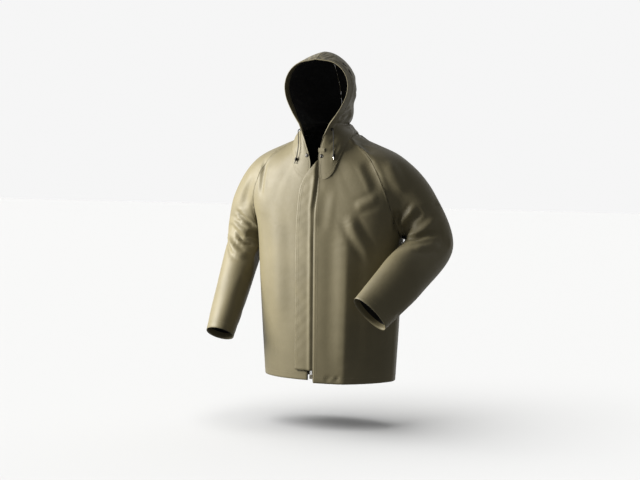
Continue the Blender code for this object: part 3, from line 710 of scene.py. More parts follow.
def press(points, out, folds):
    """Moves points along their outward directions by folds: (rise, half width, line) each, where the
    cloth beside a ridge or a crease answers it a little the other way."""
    moved = np.zeros(len(points))
    for rise, width, line in folds:
        track = through(line, np.linspace(0, 1, 48))
        low, high = track.min(0) - 3 * width, track.max(0) + 3 * width
        near = np.nonzero(np.all((points > low) & (points < high), axis=1))[0]
        if not len(near):
            continue
        apart = np.linalg.norm(points[near, None] - track[None], axis=2)
        best = apart.argmin(axis=1)
        x = apart[np.arange(len(near)), best] / width
        fade = smooth(np.minimum(best, len(track) - 1 - best) / 14 + 0.08)
        moved[near] += rise * fade * (np.exp(-x * x) - 0.32 * np.exp(-((x - 1.7) ** 2) * 2.2))
    return points + out * moved[:, None]


def mirrored(folds):
    return folds + [(rise, width, [(-x, y, z) for x, y, z in line]) for rise, width, line in folds]


# rises and half widths in metres; ridges are positive, creases negative
FOLDS = [
    # wearer's right sleeve: two deep elbow creases with ridges between them
    (-0.0080, 0.008, [(-0.336, -0.052, -0.226), (-0.298, -0.063, -0.256), (-0.276, -0.052, -0.276),
                      (-0.262, -0.040, -0.285)]),
    (0.0060, 0.010, [(-0.356, -0.040, -0.262), (-0.320, -0.066, -0.286), (-0.280, -0.056, -0.306)]),
    (-0.0100, 0.009, [(-0.340, -0.060, -0.302), (-0.310, -0.068, -0.323), (-0.286, -0.057, -0.339),
                      (-0.266, -0.028, -0.351)]),
    (0.0065, 0.012, [(-0.376, -0.030, -0.318), (-0.340, -0.080, -0.350), (-0.303, -0.085, -0.376),
                     (-0.272, -0.056, -0.372)]),
    (-0.0040, 0.007, [(-0.386, -0.020, -0.318), (-0.366, -0.062, -0.345), (-0.340, -0.090, -0.372)]),
    (-0.0040, 0.014, [(-0.241, -0.084, -0.092), (-0.267, -0.079, -0.141), (-0.289, -0.069, -0.189),
                      (-0.296, -0.062, -0.225)]),
    (0.0030, 0.016, [(-0.355, -0.100, -0.450), (-0.345, -0.130, -0.530), (-0.338, -0.165, -0.600)]),
    # wearer's left sleeve: the bright ridge at the armpit and the creases that the bent elbow makes
    (0.0085, 0.010, [(0.334, -0.036, -0.192), (0.308, -0.042, -0.224), (0.288, -0.037, -0.245),
                     (0.268, -0.024, -0.270)]),
    (-0.0090, 0.011, [(0.352, -0.030, -0.215), (0.325, -0.040, -0.245), (0.300, -0.034, -0.272),
                      (0.276, -0.020, -0.296)]),
    (-0.0090, 0.011, [(0.274, -0.052, -0.205), (0.264, -0.042, -0.248), (0.262, -0.026, -0.287)]),
    (0.0070, 0.012, [(0.392, 0.010, -0.238), (0.362, -0.018, -0.262), (0.330, -0.030, -0.285),
                     (0.292, -0.020, -0.307)]),
    (-0.0080, 0.010, [(0.402, 0.014, -0.290), (0.374, -0.014, -0.292), (0.339, -0.031, -0.304),
                      (0.292, -0.022, -0.324)]),
    (0.0050, 0.012, [(0.405, 0.000, -0.322), (0.372, -0.050, -0.330), (0.330, -0.070, -0.345)]),
    (0.0040, 0.018, [(0.240, -0.056, -0.048), (0.275, -0.070, -0.106), (0.299, -0.056, -0.165)]),
    (-0.0045, 0.012, [(0.395, 0.030, -0.190), (0.372, -0.010, -0.205), (0.350, -0.028, -0.215)]),
    # wearer's left front: it breaks down a line from the chest, and a fold runs from there to the side
    (0.0045, 0.030, [(0.134, -0.128, -0.215), (0.124, -0.128, -0.300), (0.120, -0.130, -0.450),
                     (0.117, -0.132, -0.610), (0.116, -0.133, -0.800)]),
    (0.0070, 0.017, [(0.128, -0.128, -0.226), (0.154, -0.120, -0.286), (0.180, -0.110, -0.335),
                     (0.206, -0.096, -0.385)]),
    (-0.0020, 0.016, [(0.056, -0.135, -0.135), (0.046, -0.137, -0.215), (0.036, -0.138, -0.297)]),
    (-0.0050, 0.016, [(0.170, -0.092, -0.045), (0.203, -0.099, -0.100), (0.228, -0.098, -0.160)]),
    (0.0040, 0.014, [(0.228, -0.096, -0.170), (0.190, -0.112, -0.190), (0.150, -0.124, -0.205)]),
    (-0.0030, 0.007, [(0.062, -0.143, -0.785), (0.070, -0.142, -0.760)]),
    (-0.0030, 0.006, [(0.088, -0.140, -0.788), (0.094, -0.139, -0.764)]),
    # wearer's right front: the dart of shade by the raglan seam, and a soft roll beside the flap
    (-0.0060, 0.010, [(-0.200, -0.085, -0.050), (-0.204, -0.096, -0.091), (-0.206, -0.108, -0.175)]),
    (0.0040, 0.030, [(-0.150, -0.120, -0.200), (-0.135, -0.130, -0.400), (-0.130, -0.132, -0.640)]),
] + mirrored([
    # the back: soft falls from the shoulder blades and drags from the armpits
    (0.0060, 0.030, [(0.120, 0.135, -0.180), (0.105, 0.145, -0.400), (0.100, 0.142, -0.780)]),
    (-0.0050, 0.022, [(0.045, 0.145, -0.260), (0.040, 0.150, -0.480), (0.045, 0.145, -0.700)]),
    (0.0055, 0.014, [(0.262, 0.045, -0.270), (0.215, 0.100, -0.330), (0.165, 0.128, -0.420)]),
    (-0.0050, 0.012, [(0.262, 0.040, -0.310), (0.225, 0.090, -0.365), (0.190, 0.115, -0.440)]),
    (0.0045, 0.016, [(0.200, 0.092, -0.060), (0.232, 0.100, -0.130), (0.258, 0.080, -0.210)]),
])
HOOD_FOLDS = mirrored([
    (-0.0050, 0.010, [(0.094, -0.020, 0.108), (0.088, -0.052, 0.100), (0.075, -0.078, 0.084)]),
    (0.0150, 0.032, [(0.092, -0.030, 0.092), (0.084, 0.025, 0.092), (0.055, 0.068, 0.092),
                     (0.0, 0.087, 0.092)]),
    (-0.0045, 0.010, [(0.088, -0.010, 0.060), (0.070, 0.052, 0.058), (0.036, 0.080, 0.058),
                      (0.0, 0.087, 0.058)]),
    (-0.0080, 0.014, [(0.094, 0.000, 0.036), (0.084, 0.034, 0.036), (0.050, 0.074, 0.038),
                      (0.0, 0.087, 0.040)]),
    (0.0040, 0.014, [(0.112, -0.060, 0.180), (0.104, -0.010, 0.150), (0.086, 0.040, 0.120)]),
    (-0.0035, 0.012, [(0.105, -0.040, 0.215), (0.095, 0.010, 0.200), (0.070, 0.048, 0.175)]),
])


def fold_and_settle(names, folds, held, slack, frames, bending, grow):
    """Presses the folds into some grids' welded cloth and lets it buckle in a cloth simulation: rest
    lengths grow where slack says, and each point is held in place as firmly as held says."""
    points, ids = weld(names)
    out = np.zeros_like(points)
    for n in names:
        np.add.at(out, ids[n].ravel(), normals(grids[n], OUTWARD[n]).reshape(-1, 3))
    points = press(points, unit(out), folds)
    points = settle(names, points, ids, held, slack, frames, bending, grow)
    for n in names:
        grids[n] = points[ids[n]]


def settle(names, points, ids, held, slack, frames, bending, grow):
    pin, loose, faces = np.zeros(len(points)), np.zeros(len(points)), []
    for n in names:
        np.maximum.at(pin, ids[n].ravel(), held[n].ravel())
        np.maximum.at(loose, ids[n].ravel(), slack[n].ravel())
        for q in ids[n].ravel()[grid_faces(*ids[n].shape)]:
            q = list(dict.fromkeys(int(i) for i in q))
            if len(q) > 2:
                faces.append(q)
    mesh = bpy.data.meshes.new("settling")
    mesh.from_pydata([tuple(p) for p in points], [], faces)
    obj = link(bpy.data.objects.new("settling", mesh))
    for word, weights in (("held", pin), ("tight", 1 - loose)):
        group = obj.vertex_groups.new(name=word)
        for i, w in enumerate(weights):
            group.add([i], float(w), "REPLACE")
    cloth = obj.modifiers.new("Cloth", "CLOTH")
    settings = cloth.settings
    settings.quality, settings.mass = 5, 0.25
    settings.tension_stiffness = settings.compression_stiffness = 30
    settings.shear_stiffness, settings.bending_stiffness = 12, bending
    settings.air_damping = 2
    settings.vertex_group_mass, settings.pin_stiffness = "held", 1.0
    settings.vertex_group_shrink = "tight"
    settings.shrink_min, settings.shrink_max = -grow, 0.0
    settings.effector_weights.gravity = 0
    cloth.collision_settings.use_collision = False
    scene = bpy.context.scene
    cloth.point_cache.frame_start, cloth.point_cache.frame_end = 1, frames
    for f in range(1, frames + 1):
        scene.frame_set(f)
    evaluated = obj.evaluated_get(bpy.context.evaluated_depsgraph_get())
    co = np.zeros(len(points) * 3, np.float32)
    evaluated.data.vertices.foreach_get("co", co)
    bpy.data.objects.remove(obj, do_unlink=True)
    scene.frame_set(1)
    return co.reshape(-1, 3).astype(float)


def settle_body():
    held, slack = {}, {}
    for n in BODY:
        shape = grids[n].shape[:2]
        held[n], slack[n] = np.full(shape, 0.16), np.zeros(shape)
        if n.startswith("sleeve"):
            held[n][-4:] = 1
            slack[n][:] = 0.20 + 0.42 * np.exp(-((SLEEVE_SPANS[:, None] - 3.0) / 0.9) ** 2)
        else:
            held[n][:] = 0.45
            held[n][:2], held[n][-2:] = 0.5, 1
        if n.startswith("front"):
            held[n][:, :2] = 1
    fold_and_settle(BODY, FOLDS, held, slack, frames=14, bending=10.0, grow=0.035)


def settle_hood():
    held, slack = {}, {}
    for n in HOOD:
        shape = grids[n].shape[:2]
        held[n], slack[n] = np.full(shape, 0.25), np.full(shape, 0.45)
        held[n][:, :5] = held[n][:3] = 1
        held[n][:, -1] = 0.7
    fold_and_settle(HOOD, HOOD_FOLDS, held, slack, frames=14, bending=8.0, grow=0.03)


def lift_edge(height=0.0085, width=0.075):
    """The wearer's left front stands away at its edge, where the storm flap comes out from under it."""
    g = grids["front_left"]
    across = np.linalg.norm(g - g[:, :1], axis=2)
    free = smooth((g[..., 2] + 0.80) / 0.02) * (1 - smooth((g[..., 2] + 0.25) / 0.10))
    g[..., 1] -= height * np.clip(1 - across / width, 0, 1) ** 1.3 * (0.4 + 0.6 * free)


def round_chest(reach=9, passes=24):
    """Rounds the fronts and the back where the raglan seams begin."""
    a, b = BODY_STEPS - reach, BODY_STEPS + reach + 1
    for n in ("front_left", "front_right", "back"):
        g = grids[n]
        for _ in range(passes):
            g[a:b, 1:-1] = (g[a - 1:b - 1, 1:-1] + 2 * g[a:b, 1:-1] + g[a + 1:b + 1, 1:-1]) / 4


open_throat()
round_chest()
flatten_side()
lift_edge()
settle_body()
settle_hood()


def declare(obj, slot, *nodes, body=None):
    """Fixes a piece to its body, if one is given, and hides the CAD nodes it replaces. Its slot is not used.
    """
    if body:
        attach(obj, body)
    if nodes:
        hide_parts(*nodes)
    return obj


# ---------------------------------------------------------------- body and sleeves
HEM_STITCH, CUFF_HEM = 4, 3              # how many fine steps from an edge the hem's stitching runs


def make_fronts():
    for side, word in WORDS.items():
        name = "front_" + word
        grid = finer(grids[name])
        out = normals(grid, OUTWARD[name])
        grid = sew_down(grid, out, ["last"])
        piece = Piece("body_front_" + word)
        for column in (1, 2):
            piece.stitches(grid[3:, column], out[3:, column])
        piece.stitches(grid[HEM_STITCH], out[HEM_STITCH])
        piece.stitches(grid[2 * BODY_STEPS:, -2], out[2 * BODY_STEPS:, -2])
        grid, out = turn_in(grid, out, "first", 6)
        grid, out = turn_in(grid, out, "bottom", HEM_STITCH, depth=0.0028)
        piece.sheet(grid, OUTWARD[name])
        declare(piece.build(), "shell_fabric", "front_panel_" + word, body="torso")


def make_back():
    grid = finer(grids["back"])
    out = normals(grid, OUTWARD["back"])
    grid = sew_down(grid, out, ["first", "last"])
    piece = Piece("body_back")
    piece.stitches(grid[HEM_STITCH], out[HEM_STITCH])
    for column in (1, -2):
        piece.stitches(grid[2 * BODY_STEPS:, column], out[2 * BODY_STEPS:, column])
    grid, out = turn_in(grid, out, "bottom", HEM_STITCH, depth=0.0028)
    piece.sheet(grid, OUTWARD["back"])
    declare(piece.build(), "shell_fabric", "back_panel", body="torso")


UPPER_SPAN, ELBOW_SPANS = 2.15, (2.35, 3.75)   # where the sleeve is parted, and where its elbow bends


def make_sleeves():
    for side, word in WORDS.items():
        name = "sleeve_" + word
        grid = finer(grids[name])
        out = normals(grid, OUTWARD[name])
        grid = sew_down(grid, out, ["bottom"])
        spans = np.interp(np.arange(len(grid)) / FINER, np.arange(SLEEVE_ROWS + 1), SLEEVE_SPANS)
        part = int(np.searchsorted(spans, UPPER_SPAN))
        shoulder = smooth((spans / spans[part] - 0.06) / 0.9)
        elbow = smooth((spans - ELBOW_SPANS[0]) / (ELBOW_SPANS[1] - ELBOW_SPANS[0]))
        start, end = ARMS[side]["shoulder"], ARMS[side]["elbow"]
        upper = Piece("sleeve_upper_" + word)
        upper.sheet(grid[:part + 1], OUTWARD[name], weights=shoulder[:part + 1, None], run_on=("top",),
                    out=out[:part + 1])
        upper.bend("torso", "upper_arm_" + word, start, end)
        declare(upper.obj, "shell_fabric", "upper_sleeve_" + word)
        lower = Piece("sleeve_lower_" + word)
        lower.stitches(grid[-1 - CUFF_HEM], out[-1 - CUFF_HEM], weights=np.ones(grid.shape[1]))
        forearm, facing = turn_in(grid[part:], out[part:], "top", CUFF_HEM)
        weights = np.concatenate([elbow[part:], np.ones(len(forearm) - len(elbow[part:]))])
        lower.sheet(forearm, OUTWARD[name], weights=weights[:, None], run_on=("bottom",), out=facing)
        lower.bend("upper_arm_" + word, "forearm_" + word, start, end)
        declare(lower.obj, "shell_fabric", "forearm_sleeve_" + word, "cuff_facing_" + word)


# ---------------------------------------------------------------- hood
HOOD_BEND = ((0, 0, 0.056), (0, 0, 0.19))      # heights between which the hood's weights rise from 0 to 1
SKIRT_STITCHED = 48                            # fine columns that the skirt's hem is stitched along
# how far a line lies back from the face edge, and how deep: the hem's stitching, and the cord inside
HEM_LINE, CORD_LINE = (0.0225, -0.0004), (0.011, 0.0030)
TUNNEL_PROFILE = np.array([
    # setback from the face edge, depth under the outer face: round the edge, then a cord's width deep
    (0.0035, -0.0005), (0.0010, -0.0008), (-0.0007, 0.0004), (0.0003, 0.0022), (0.005, 0.0042),
    (0.013, 0.0056), (0.022, 0.0054), (0.031, 0.0042), (0.038, 0.0028)])


def hood_weights(grid):
    low, high = HOOD_BEND[0][2], HOOD_BEND[1][2]
    return smooth((grid[..., 2] - low) / (high - low))


def make_hood():
    edges = []
    for side, word in WORDS.items():
        name = "hood_" + word
        grid = finer(grids[name])
        out = normals(grid, OUTWARD[name])
        out[-3:] = out[-4]
        grid = sew_down(grid, out, ["last"])
        edges.append((grid[:, 0], grid[:, 2], out[:, 1]))
        piece = Piece("hood_" + word)
        weights = hood_weights(grid)
        crown = (slice(2 * SKIRT_ROWS, -4), -3)
        piece.stitches(grid[crown], out[crown], weights=weights[crown])
        for line in (grid[1, :SKIRT_STITCHED], grid[3, :SKIRT_STITCHED]):
            piece.stitches(line, out[1, :SKIRT_STITCHED], weights=hood_weights(line))
        around = face_line(grid[:, 0], grid[:, 2], out[:, 1], *HEM_LINE)
        piece.stitches(around[:-6], out[:-6, 4], weights=hood_weights(around[:-6]))
        piece.sheet(grid, OUTWARD[name], weights=weights)
        piece.bend("torso", "hood", *HOOD_BEND)
        declare(piece.obj, "shell_fabric", "hood_panel_" + word, "neck_skirt_" + word)
    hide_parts("hood_neck_band")
    make_face_hem(edges)


def face_line(edge, beside, out, setback, depth):
    """A line that runs beside the hood's face edge: set back along the cloth, and under its face."""
    back = unit(beside - edge)
    setback = setback * (0.35 + 0.65 * smooth((np.arange(len(edge))[:, None] / 2 - SKIRT_ROWS) / 9))
    top = smooth((np.linspace(0, 1, len(edge)) - 0.80) / 0.16)[:, None]
    back = unit(back * (1 - top) + np.array((0, 0.945, 0.33)) * top)
    under = unit(out * (1 - top) + np.array((0, -0.33, 0.945)) * top)
    return edge + back * setback - under * depth


def make_face_hem(edges):
    """The hem turned in round the face, which the drawcord runs through."""
    rows = []
    for setback, depth in TUNNEL_PROFILE:
        left, right = (face_line(*edge, setback, depth) for edge in edges)
        rows.append(np.concatenate([right[:-1], left[::-1]]))
    grid = np.array(rows)
    piece = Piece("hood_face_hem")
    grid = finer(grid, 2, axes=(0,))
    piece.sheet(grid, -1, weights=hood_weights(grid))
    piece.bend("torso", "hood", *HOOD_BEND)
    declare(piece.obj, "shell_fabric", "drawcord_tunnel")


# ---------------------------------------------------------------- storm flap
FLAP_EDGE = [(-0.0575, -0.749), (-0.0575, -0.540), (-0.0575, -0.330), (-0.0510, -0.210), (-0.0420, -0.146),
             (-0.0260, -0.110), (-0.0020, -0.078), (0.0230, -0.050)]     # x and z of its free edge
FLAP_ROOT = [(0.0200, -0.749), (0.0200, -0.540), (0.0200, -0.330), (0.0230, -0.210), (0.0310, -0.146),
             (0.0360, -0.110), (0.0380, -0.078), (0.0370, -0.046)]   # where it is sewn under the left front
# ripples across the flap: height, pitch, slant and shift
FLAP_RIPPLES = ((0.0010, 0.121, 0.8, 0.4), (0.0005, 0.067, 1.2, 1.7), (0.0002, 0.037, -0.9, 2.9))


def front_depth(points):
    """The depth y of the fronts' outer faces at x and z, from the nearest settled points."""
    cloud = np.concatenate([finer(grids[n])[:, :40].reshape(-1, 3) for n in ("front_left", "front_right")]
                           + [finer(grids[n])[:40, :24].reshape(-1, 3) for n in HOOD])
    tree = KDTree(len(cloud))
    for i, (x, y, z) in enumerate(cloud):
        tree.insert((x, 0, z), i)
    tree.balance()
    depths = []
    for x, z in points:
        found = tree.find_n((x, 0, z), 5)
        weights = [1 / (d + 0.002) for _, _, d in found]
        depths.append(sum(cloud[i][1] * w for (_, i, _), w in zip(found, weights)) / sum(weights))
    return np.array(depths)


def flap_grid(columns=18, height=110):
    t = np.linspace(0, 1, height + 1)
    edge = through([(x, 0, z) for x, z in FLAP_EDGE], t)
    root = through([(x, 0, z) for x, z in FLAP_ROOT], t)
    u = np.linspace(0, 1, columns + 1)[None, :, None]
    grid = edge[:, None] * (1 - u) + root[:, None] * u
    face = front_depth(grid[..., (0, 2)].reshape(-1, 2)).reshape(grid.shape[:2])
    for _ in range(3):
        face[1:-1] = (face[:-2] + 2 * face[1:-1] + face[2:]) / 4
        face[:, 1:-1] = (face[:, :-2] + 2 * face[:, 1:-1] + face[:, 2:]) / 4
    x, z = grid[..., 0], grid[..., 2]
    # it dips under the left front, and further over towards the throat
    under = smooth((x + 0.002) / 0.014 - np.clip((z + 0.21) / 0.10, 0, 1) * 1.2)
    stand = 0.0070 + 0.0012 * np.sin(math.pi * u[..., 0])
    ripple = np.zeros_like(x)
    for size, pitch, slant, shift in FLAP_RIPPLES:
        wave = np.sin(2 * math.pi * (z + slant * x) / pitch + shift + 2.3 * np.sin(9 * z + shift))
        ripple += size * wave * (0.4 + 0.6 * np.sin(7 * z + 3 * shift) ** 2)
    free = np.clip(1.25 - 1.1 * u[..., 0], 0.15, 1)
    grid[..., 1] = face - stand * (1 - under) + 0.0022 * under - ripple * free * (1 - under)
    return grid


def make_flap():
    grid = flap_grid()
    out = normals(grid, 1)
    piece = Piece("storm_flap_cloth")
    for column in (1, 3):
        piece.stitches(grid[3:-3, column], out[3:-3, column])
    grid, out = turn_in(grid, out, "first", 4, depth=0.0016)
    grid, out = turn_in(grid, out, "bottom", 2, depth=0.0018)
    piece.sheet(grid, 1)
    obj = piece.build()
    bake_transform(obj)
    declare(obj, "shell_fabric", "storm_flap")


# ---------------------------------------------------------------- turned and built fittings
def round_edges(obj, width):
    edge = obj.modifiers.new("Edge", "BEVEL")
    edge.width, edge.segments, edge.limit_method = width, 2, "ANGLE"


def turned(name, profile, centre, axis, mat, body, slot, replaces, steps=40, closed=False):
    """A round fitting: its profile of (radius, height), bottom to top, turned about axis."""
    axis = unit(np.asarray(axis, float))
    side = unit(np.cross(axis, (0.31, 0.17, 0.93)))
    other = np.cross(axis, side)
    angle = 2 * math.pi * np.arange(steps) / steps
    around = np.cos(angle)[:, None] * side + np.sin(angle)[:, None] * other
    ringed = [np.asarray(centre) + axis * h + r * around for r, h in profile]
    n, faces = len(profile), []
    for r in range(n if closed else n - 1):
        for k in range(steps):
            j, q = (k + 1) % steps, (r + 1) % n
            faces.append([r * steps + k, r * steps + j, q * steps + j, q * steps + k])
    if not closed:
        faces += [list(range(steps))[::-1], list(range((n - 1) * steps, n * steps))]
    obj = mesh_object(name, np.concatenate(ringed), faces, [mat])
    round_edges(obj, 0.00012)
    return declare(obj, slot, replaces, body=body)


def middle_of(name):
    low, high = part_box(name)
    return (np.array(low) + np.array(high)) / 2


# profiles of the round fittings: radius and height
CAP = [(0.0001, 0.0), (0.0066, 0.0), (0.0067, 0.0010), (0.0062, 0.0018), (0.0056, 0.0020),
       (0.0050, 0.0015), (0.0040, 0.0017), (0.0020, 0.0022), (0.0001, 0.0023)]
STUD = [(0.0001, 0.0), (0.0056, 0.0), (0.0056, 0.0005), (0.0048, 0.0008), (0.0026, 0.0008),
        (0.0021, 0.0012), (0.0021, 0.0015), (0.0024, 0.0019), (0.0021, 0.0022), (0.0001, 0.0022)]
SOCKET = [(0.0001, 0.0), (0.0056, 0.0), (0.0056, 0.0010), (0.0051, 0.0018), (0.0044, 0.0015),
          (0.0038, 0.0015), (0.0034, 0.0020), (0.0029, 0.0020), (0.0028, 0.0009), (0.0001, 0.0008)]
EYELET_RING = [(0.0024, -0.0006), (0.0024, 0.0010), (0.0030, 0.0014), (0.0042, 0.0013), (0.0053, 0.0008),
               (0.0055, 0.0002), (0.0052, -0.0002)]
EYELET_OUT = (0.77, -0.64, 0.0)           # the way the wearer's left eyelet faces


def make_fittings():
    for side, word in WORDS.items():
        low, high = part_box("throat_snap_" + word)
        centre = np.array(((low.x + high.x) / 2, high.y - 0.0006, (low.z + high.z) / 2))
        turned("snap_cap_" + word, CAP, centre, (0.04 * side, -0.99, 0.10), DARK_METAL, "torso",
               "dark_metal", "throat_snap_" + word)
        turned("eyelet_ring_" + word, EYELET_RING, CORDS[side][0], (EYELET_OUT[0] * side, *EYELET_OUT[1:]),
               DARK_METAL, "torso", "dark_metal", "eyelet_" + word, closed=True)
    for number in range(1, 5):
        for kind, profile, body, sign in (("stud", STUD, "torso", -1), ("socket", SOCKET, "storm_flap", 1)):
            name = "flap_%s_%d" % (kind, number)
            low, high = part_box(name)
            centre = np.array(((low.x + high.x) / 2, high.y if sign < 0 else low.y, (low.z + high.z) / 2))
            turned("%s_%d" % (kind, number), profile, centre, (0, sign, 0), STUD_METAL, body,
                   "stud_metal", name)


# ---------------------------------------------------------------- zip
# the fronts' outer faces at the zip: how far forward they lie at a height, and how much further at the
# end of a drop below it
ZIP_FORWARD, ZIP_FROM, ZIP_FURTHER, ZIP_DROP = 0.1344, -0.06, 0.0112, 0.73
TAPE_COLUMNS = np.array([0.0040, 0.0052, 0.0062, 0.0110, 0.0170, 0.0235])    # out from the middle
TAPE_EASE = np.array([-0.0007, -0.0009, 0.0, 0.0, 0.0001, 0.0])              # its thickened edge


def zip_point(z, x, depth):
    """A point on the zip's plane: depth counts inwards from the fronts' outer faces."""
    return np.array((x, -(ZIP_FORWARD + ZIP_FURTHER * (ZIP_FROM - z) / ZIP_DROP) + depth, z))


# a tooth's outline: shares of its reach towards the middle, and of its height
TOOTH = np.array([(0.0, -1.0), (0.75, -0.62), (1.0, 0.0), (0.75, 0.62), (0.0, 1.0), (-0.9, 0.8),
                  (-0.9, -0.8)])
TOOTH_PITCH = 0.0026


def make_zip():
    zip_in = SHELL + 0.0012
    for side, word in WORDS.items():
        piece = Piece("zip_tape_cloth_" + word, [TAPE, TAPE, TAPE, THREAD])
        z = np.linspace(*ZIP_Z, 120)
        grid = np.array([[zip_point(h, x * side, zip_in + e) for x, e in zip(TAPE_COLUMNS, TAPE_EASE)]
                         for h in z])
        piece.stitches(grid[:, 3], np.tile((0, -1, 0), (len(z), 1)))
        piece.sheet(grid, side, thickness=0.0006)
        declare(piece.build(), "zip_tape", "zip_tape_" + word, body="torso")
        points, faces = [], []
        count = int((ZIP_Z[1] - ZIP_Z[0]) / TOOTH_PITCH)
        for k in range(count):
            h = ZIP_Z[0] + (k + (0.25 if side > 0 else 0.75)) * TOOTH_PITCH
            for depth in (-0.0012, 0.0010):
                for reach, rise in TOOTH:
                    points.append(zip_point(h + rise * TOOTH_PITCH * 0.24, side * (0.0022 - reach * 0.0019),
                                            zip_in + depth))
            n, first = len(TOOTH), len(points) - 2 * len(TOOTH)
            a, b = list(range(first, first + n)), list(range(first + n, first + 2 * n))
            rounds = [[a[i], a[(i + 1) % n], b[(i + 1) % n], b[i]] for i in range(n)]
            new = rounds + [a[::-1], b]
            faces += new if side > 0 else [f[::-1] for f in new]
        obj = mesh_object("zip_teeth_row_" + word, points, faces, [ZIP_METAL], smooth_faces=False)
        declare(obj, "zip_metal", "zip_teeth_" + word, body="torso")


def bar(name, centre, outline, depth, body, *replaces, hole=None):
    """A flat stamped fitting that faces the front: an outline in x and z, and a depth."""
    def layer(points, y):
        return [np.asarray(centre) + (x, y, z) for x, z in points]

    n = len(outline)
    points = layer(outline, -depth / 2) + layer(outline, depth / 2)
    faces = [[i, i + n, (i + 1) % n + n, (i + 1) % n] for i in range(n)]
    if hole:
        points += layer(hole, -depth / 2) + layer(hole, depth / 2)
        for i in range(n):
            j = (i + 1) % n
            faces += [[i, j, j + 2 * n, i + 2 * n], [j + n, i + n, i + 3 * n, j + 3 * n],
                      [i + 2 * n, j + 2 * n, j + 3 * n, i + 3 * n]]
    else:
        faces += [list(range(n)), list(range(n, 2 * n))[::-1]]
    obj = mesh_object(name, points, faces, [ZIP_METAL], smooth_faces=False)
    round_edges(obj, 0.0003)
    declare(obj, "zip_metal", *replaces, body=body)


def oval(half_width, half_height, power=0.6, centre=(0, 0), sides=20):
    """An oval outline; a lower power makes it squarer."""
    made = []
    for k in range(sides):
        c, s = math.cos(2 * math.pi * k / sides), math.sin(2 * math.pi * k / sides)
        made.append((centre[0] + half_width * math.copysign(abs(c) ** power, c),
                     centre[1] + half_height * math.copysign(abs(s) ** power, s)))
    return made


def make_slider():
    low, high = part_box("zip_slider")
    middle = middle_of("zip_slider")
    bar("slider_plate", (0, low.y + 0.0005, middle[2]), oval(0.0055, 0.0059, power=0.5), 0.0011,
        "zip_slider", "zip_slider")
    bar("slider_bridge", (0, low.y - 0.0007, middle[2] + 0.0008), oval(0.0016, 0.0040), 0.0016, "zip_slider")
    low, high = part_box("zip_pull")
    tall = (high.z - low.z) / 2
    bar("pull_tab", middle_of("zip_pull"), oval(0.0034, tall, power=0.7), 0.0010, "zip_slider", "zip_pull",
        hole=oval(0.0017, tall * 0.30, power=0.7, centre=(0, -tall * 0.45)))
    for word in WORDS.values():
        stop = "zip_top_stop_" + word
        low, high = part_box(stop)
        bar("top_stop_" + word, middle_of(stop), oval(0.0017, (high.z - low.z) / 2, power=0.4),
            high.y - low.y, "torso", stop)
    low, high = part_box("zip_bottom_box")
    bar("bottom_box", middle_of("zip_bottom_box"), oval(0.0054, (high.z - low.z) / 2, power=0.35),
        high.y - low.y, "torso", "zip_bottom_box", hole=oval(0.0012, 0.0028, power=0.8, centre=(0, -0.001)))


# ---------------------------------------------------------------- drawcord
CORD_R = 0.0015
CORDS = {
    LEFT: [(0.0594, -0.1030, 0.0520), (0.0636, -0.1065, 0.0515), (0.0668, -0.1098, 0.0460),
           (0.0688, -0.1122, 0.0340), (0.0702, -0.1146, 0.0150), (0.0718, -0.1180, -0.0080),
           (0.0740, -0.1218, -0.0240), (0.0757, -0.1246, -0.0360), (0.0774, -0.1274, -0.0480)],
    RIGHT: [(-0.0594, -0.1030, 0.0520), (-0.0636, -0.1065, 0.0515), (-0.0645, -0.1092, 0.0460),
            (-0.0615, -0.1140, 0.0340), (-0.0575, -0.1205, 0.0210), (-0.0545, -0.1258, 0.0070),
            (-0.0548, -0.1292, -0.0140), (-0.0575, -0.1310, -0.0340), (-0.0600, -0.13175, -0.0430),
            (-0.0625, -0.1325, -0.0520), (-0.0650, -0.13325, -0.0610)],
}
BEAD = [(0.0019, -0.0050), (0.0030, -0.0052), (0.0036, -0.0046), (0.0034, -0.0034), (0.0040, -0.0028),
        (0.0042, 0.0), (0.0040, 0.0028), (0.0034, 0.0034), (0.0036, 0.0046), (0.0030, 0.0052),
        (0.0019, 0.0050)]
# each cord's tip: where it starts on the route, and its thickness there and on to its end
TIP_START = {LEFT: 0.90, RIGHT: 0.982}
TIP_SWELL = {LEFT: [1.12] * 10 + [1.0, 0.6],
             RIGHT: [0.9, 1.1, 1.4, 1.5, 1.45, 1.3, 1.4, 1.5, 1.35, 1.1, 1.0, 0.8]}


def tube_mesh(name, line, radius, mat, sides=10, swell=None):
    """A round tube on a line of points, with rounded ends; swell is a share of the radius at each."""
    line = np.asarray(line, float)
    forward = unit(np.gradient(line, axis=0))
    side = unit(np.cross(forward, (0.3, -0.9, 0.2)))
    other = np.cross(forward, side)
    angle = 2 * math.pi * np.arange(sides) / sides
    share = np.ones(len(line)) if swell is None else np.asarray(swell)
    ring_out = np.cos(angle)[None, :, None] * side[:, None] + np.sin(angle)[None, :, None] * other[:, None]
    points = line[:, None] + radius * share[:, None, None] * ring_out
    faces = grid_faces(len(line), sides)
    around = np.arange(len(line) * sides).reshape(len(line), sides)
    closing = np.stack([around[:-1, -1], around[:-1, 0], around[1:, 0], around[1:, -1]], axis=1)
    faces = [list(f) for f in np.concatenate([faces, closing])]
    faces += [list(around[0])[::-1], list(around[-1])]
    return mesh_object(name, points.reshape(-1, 3), faces, [mat])


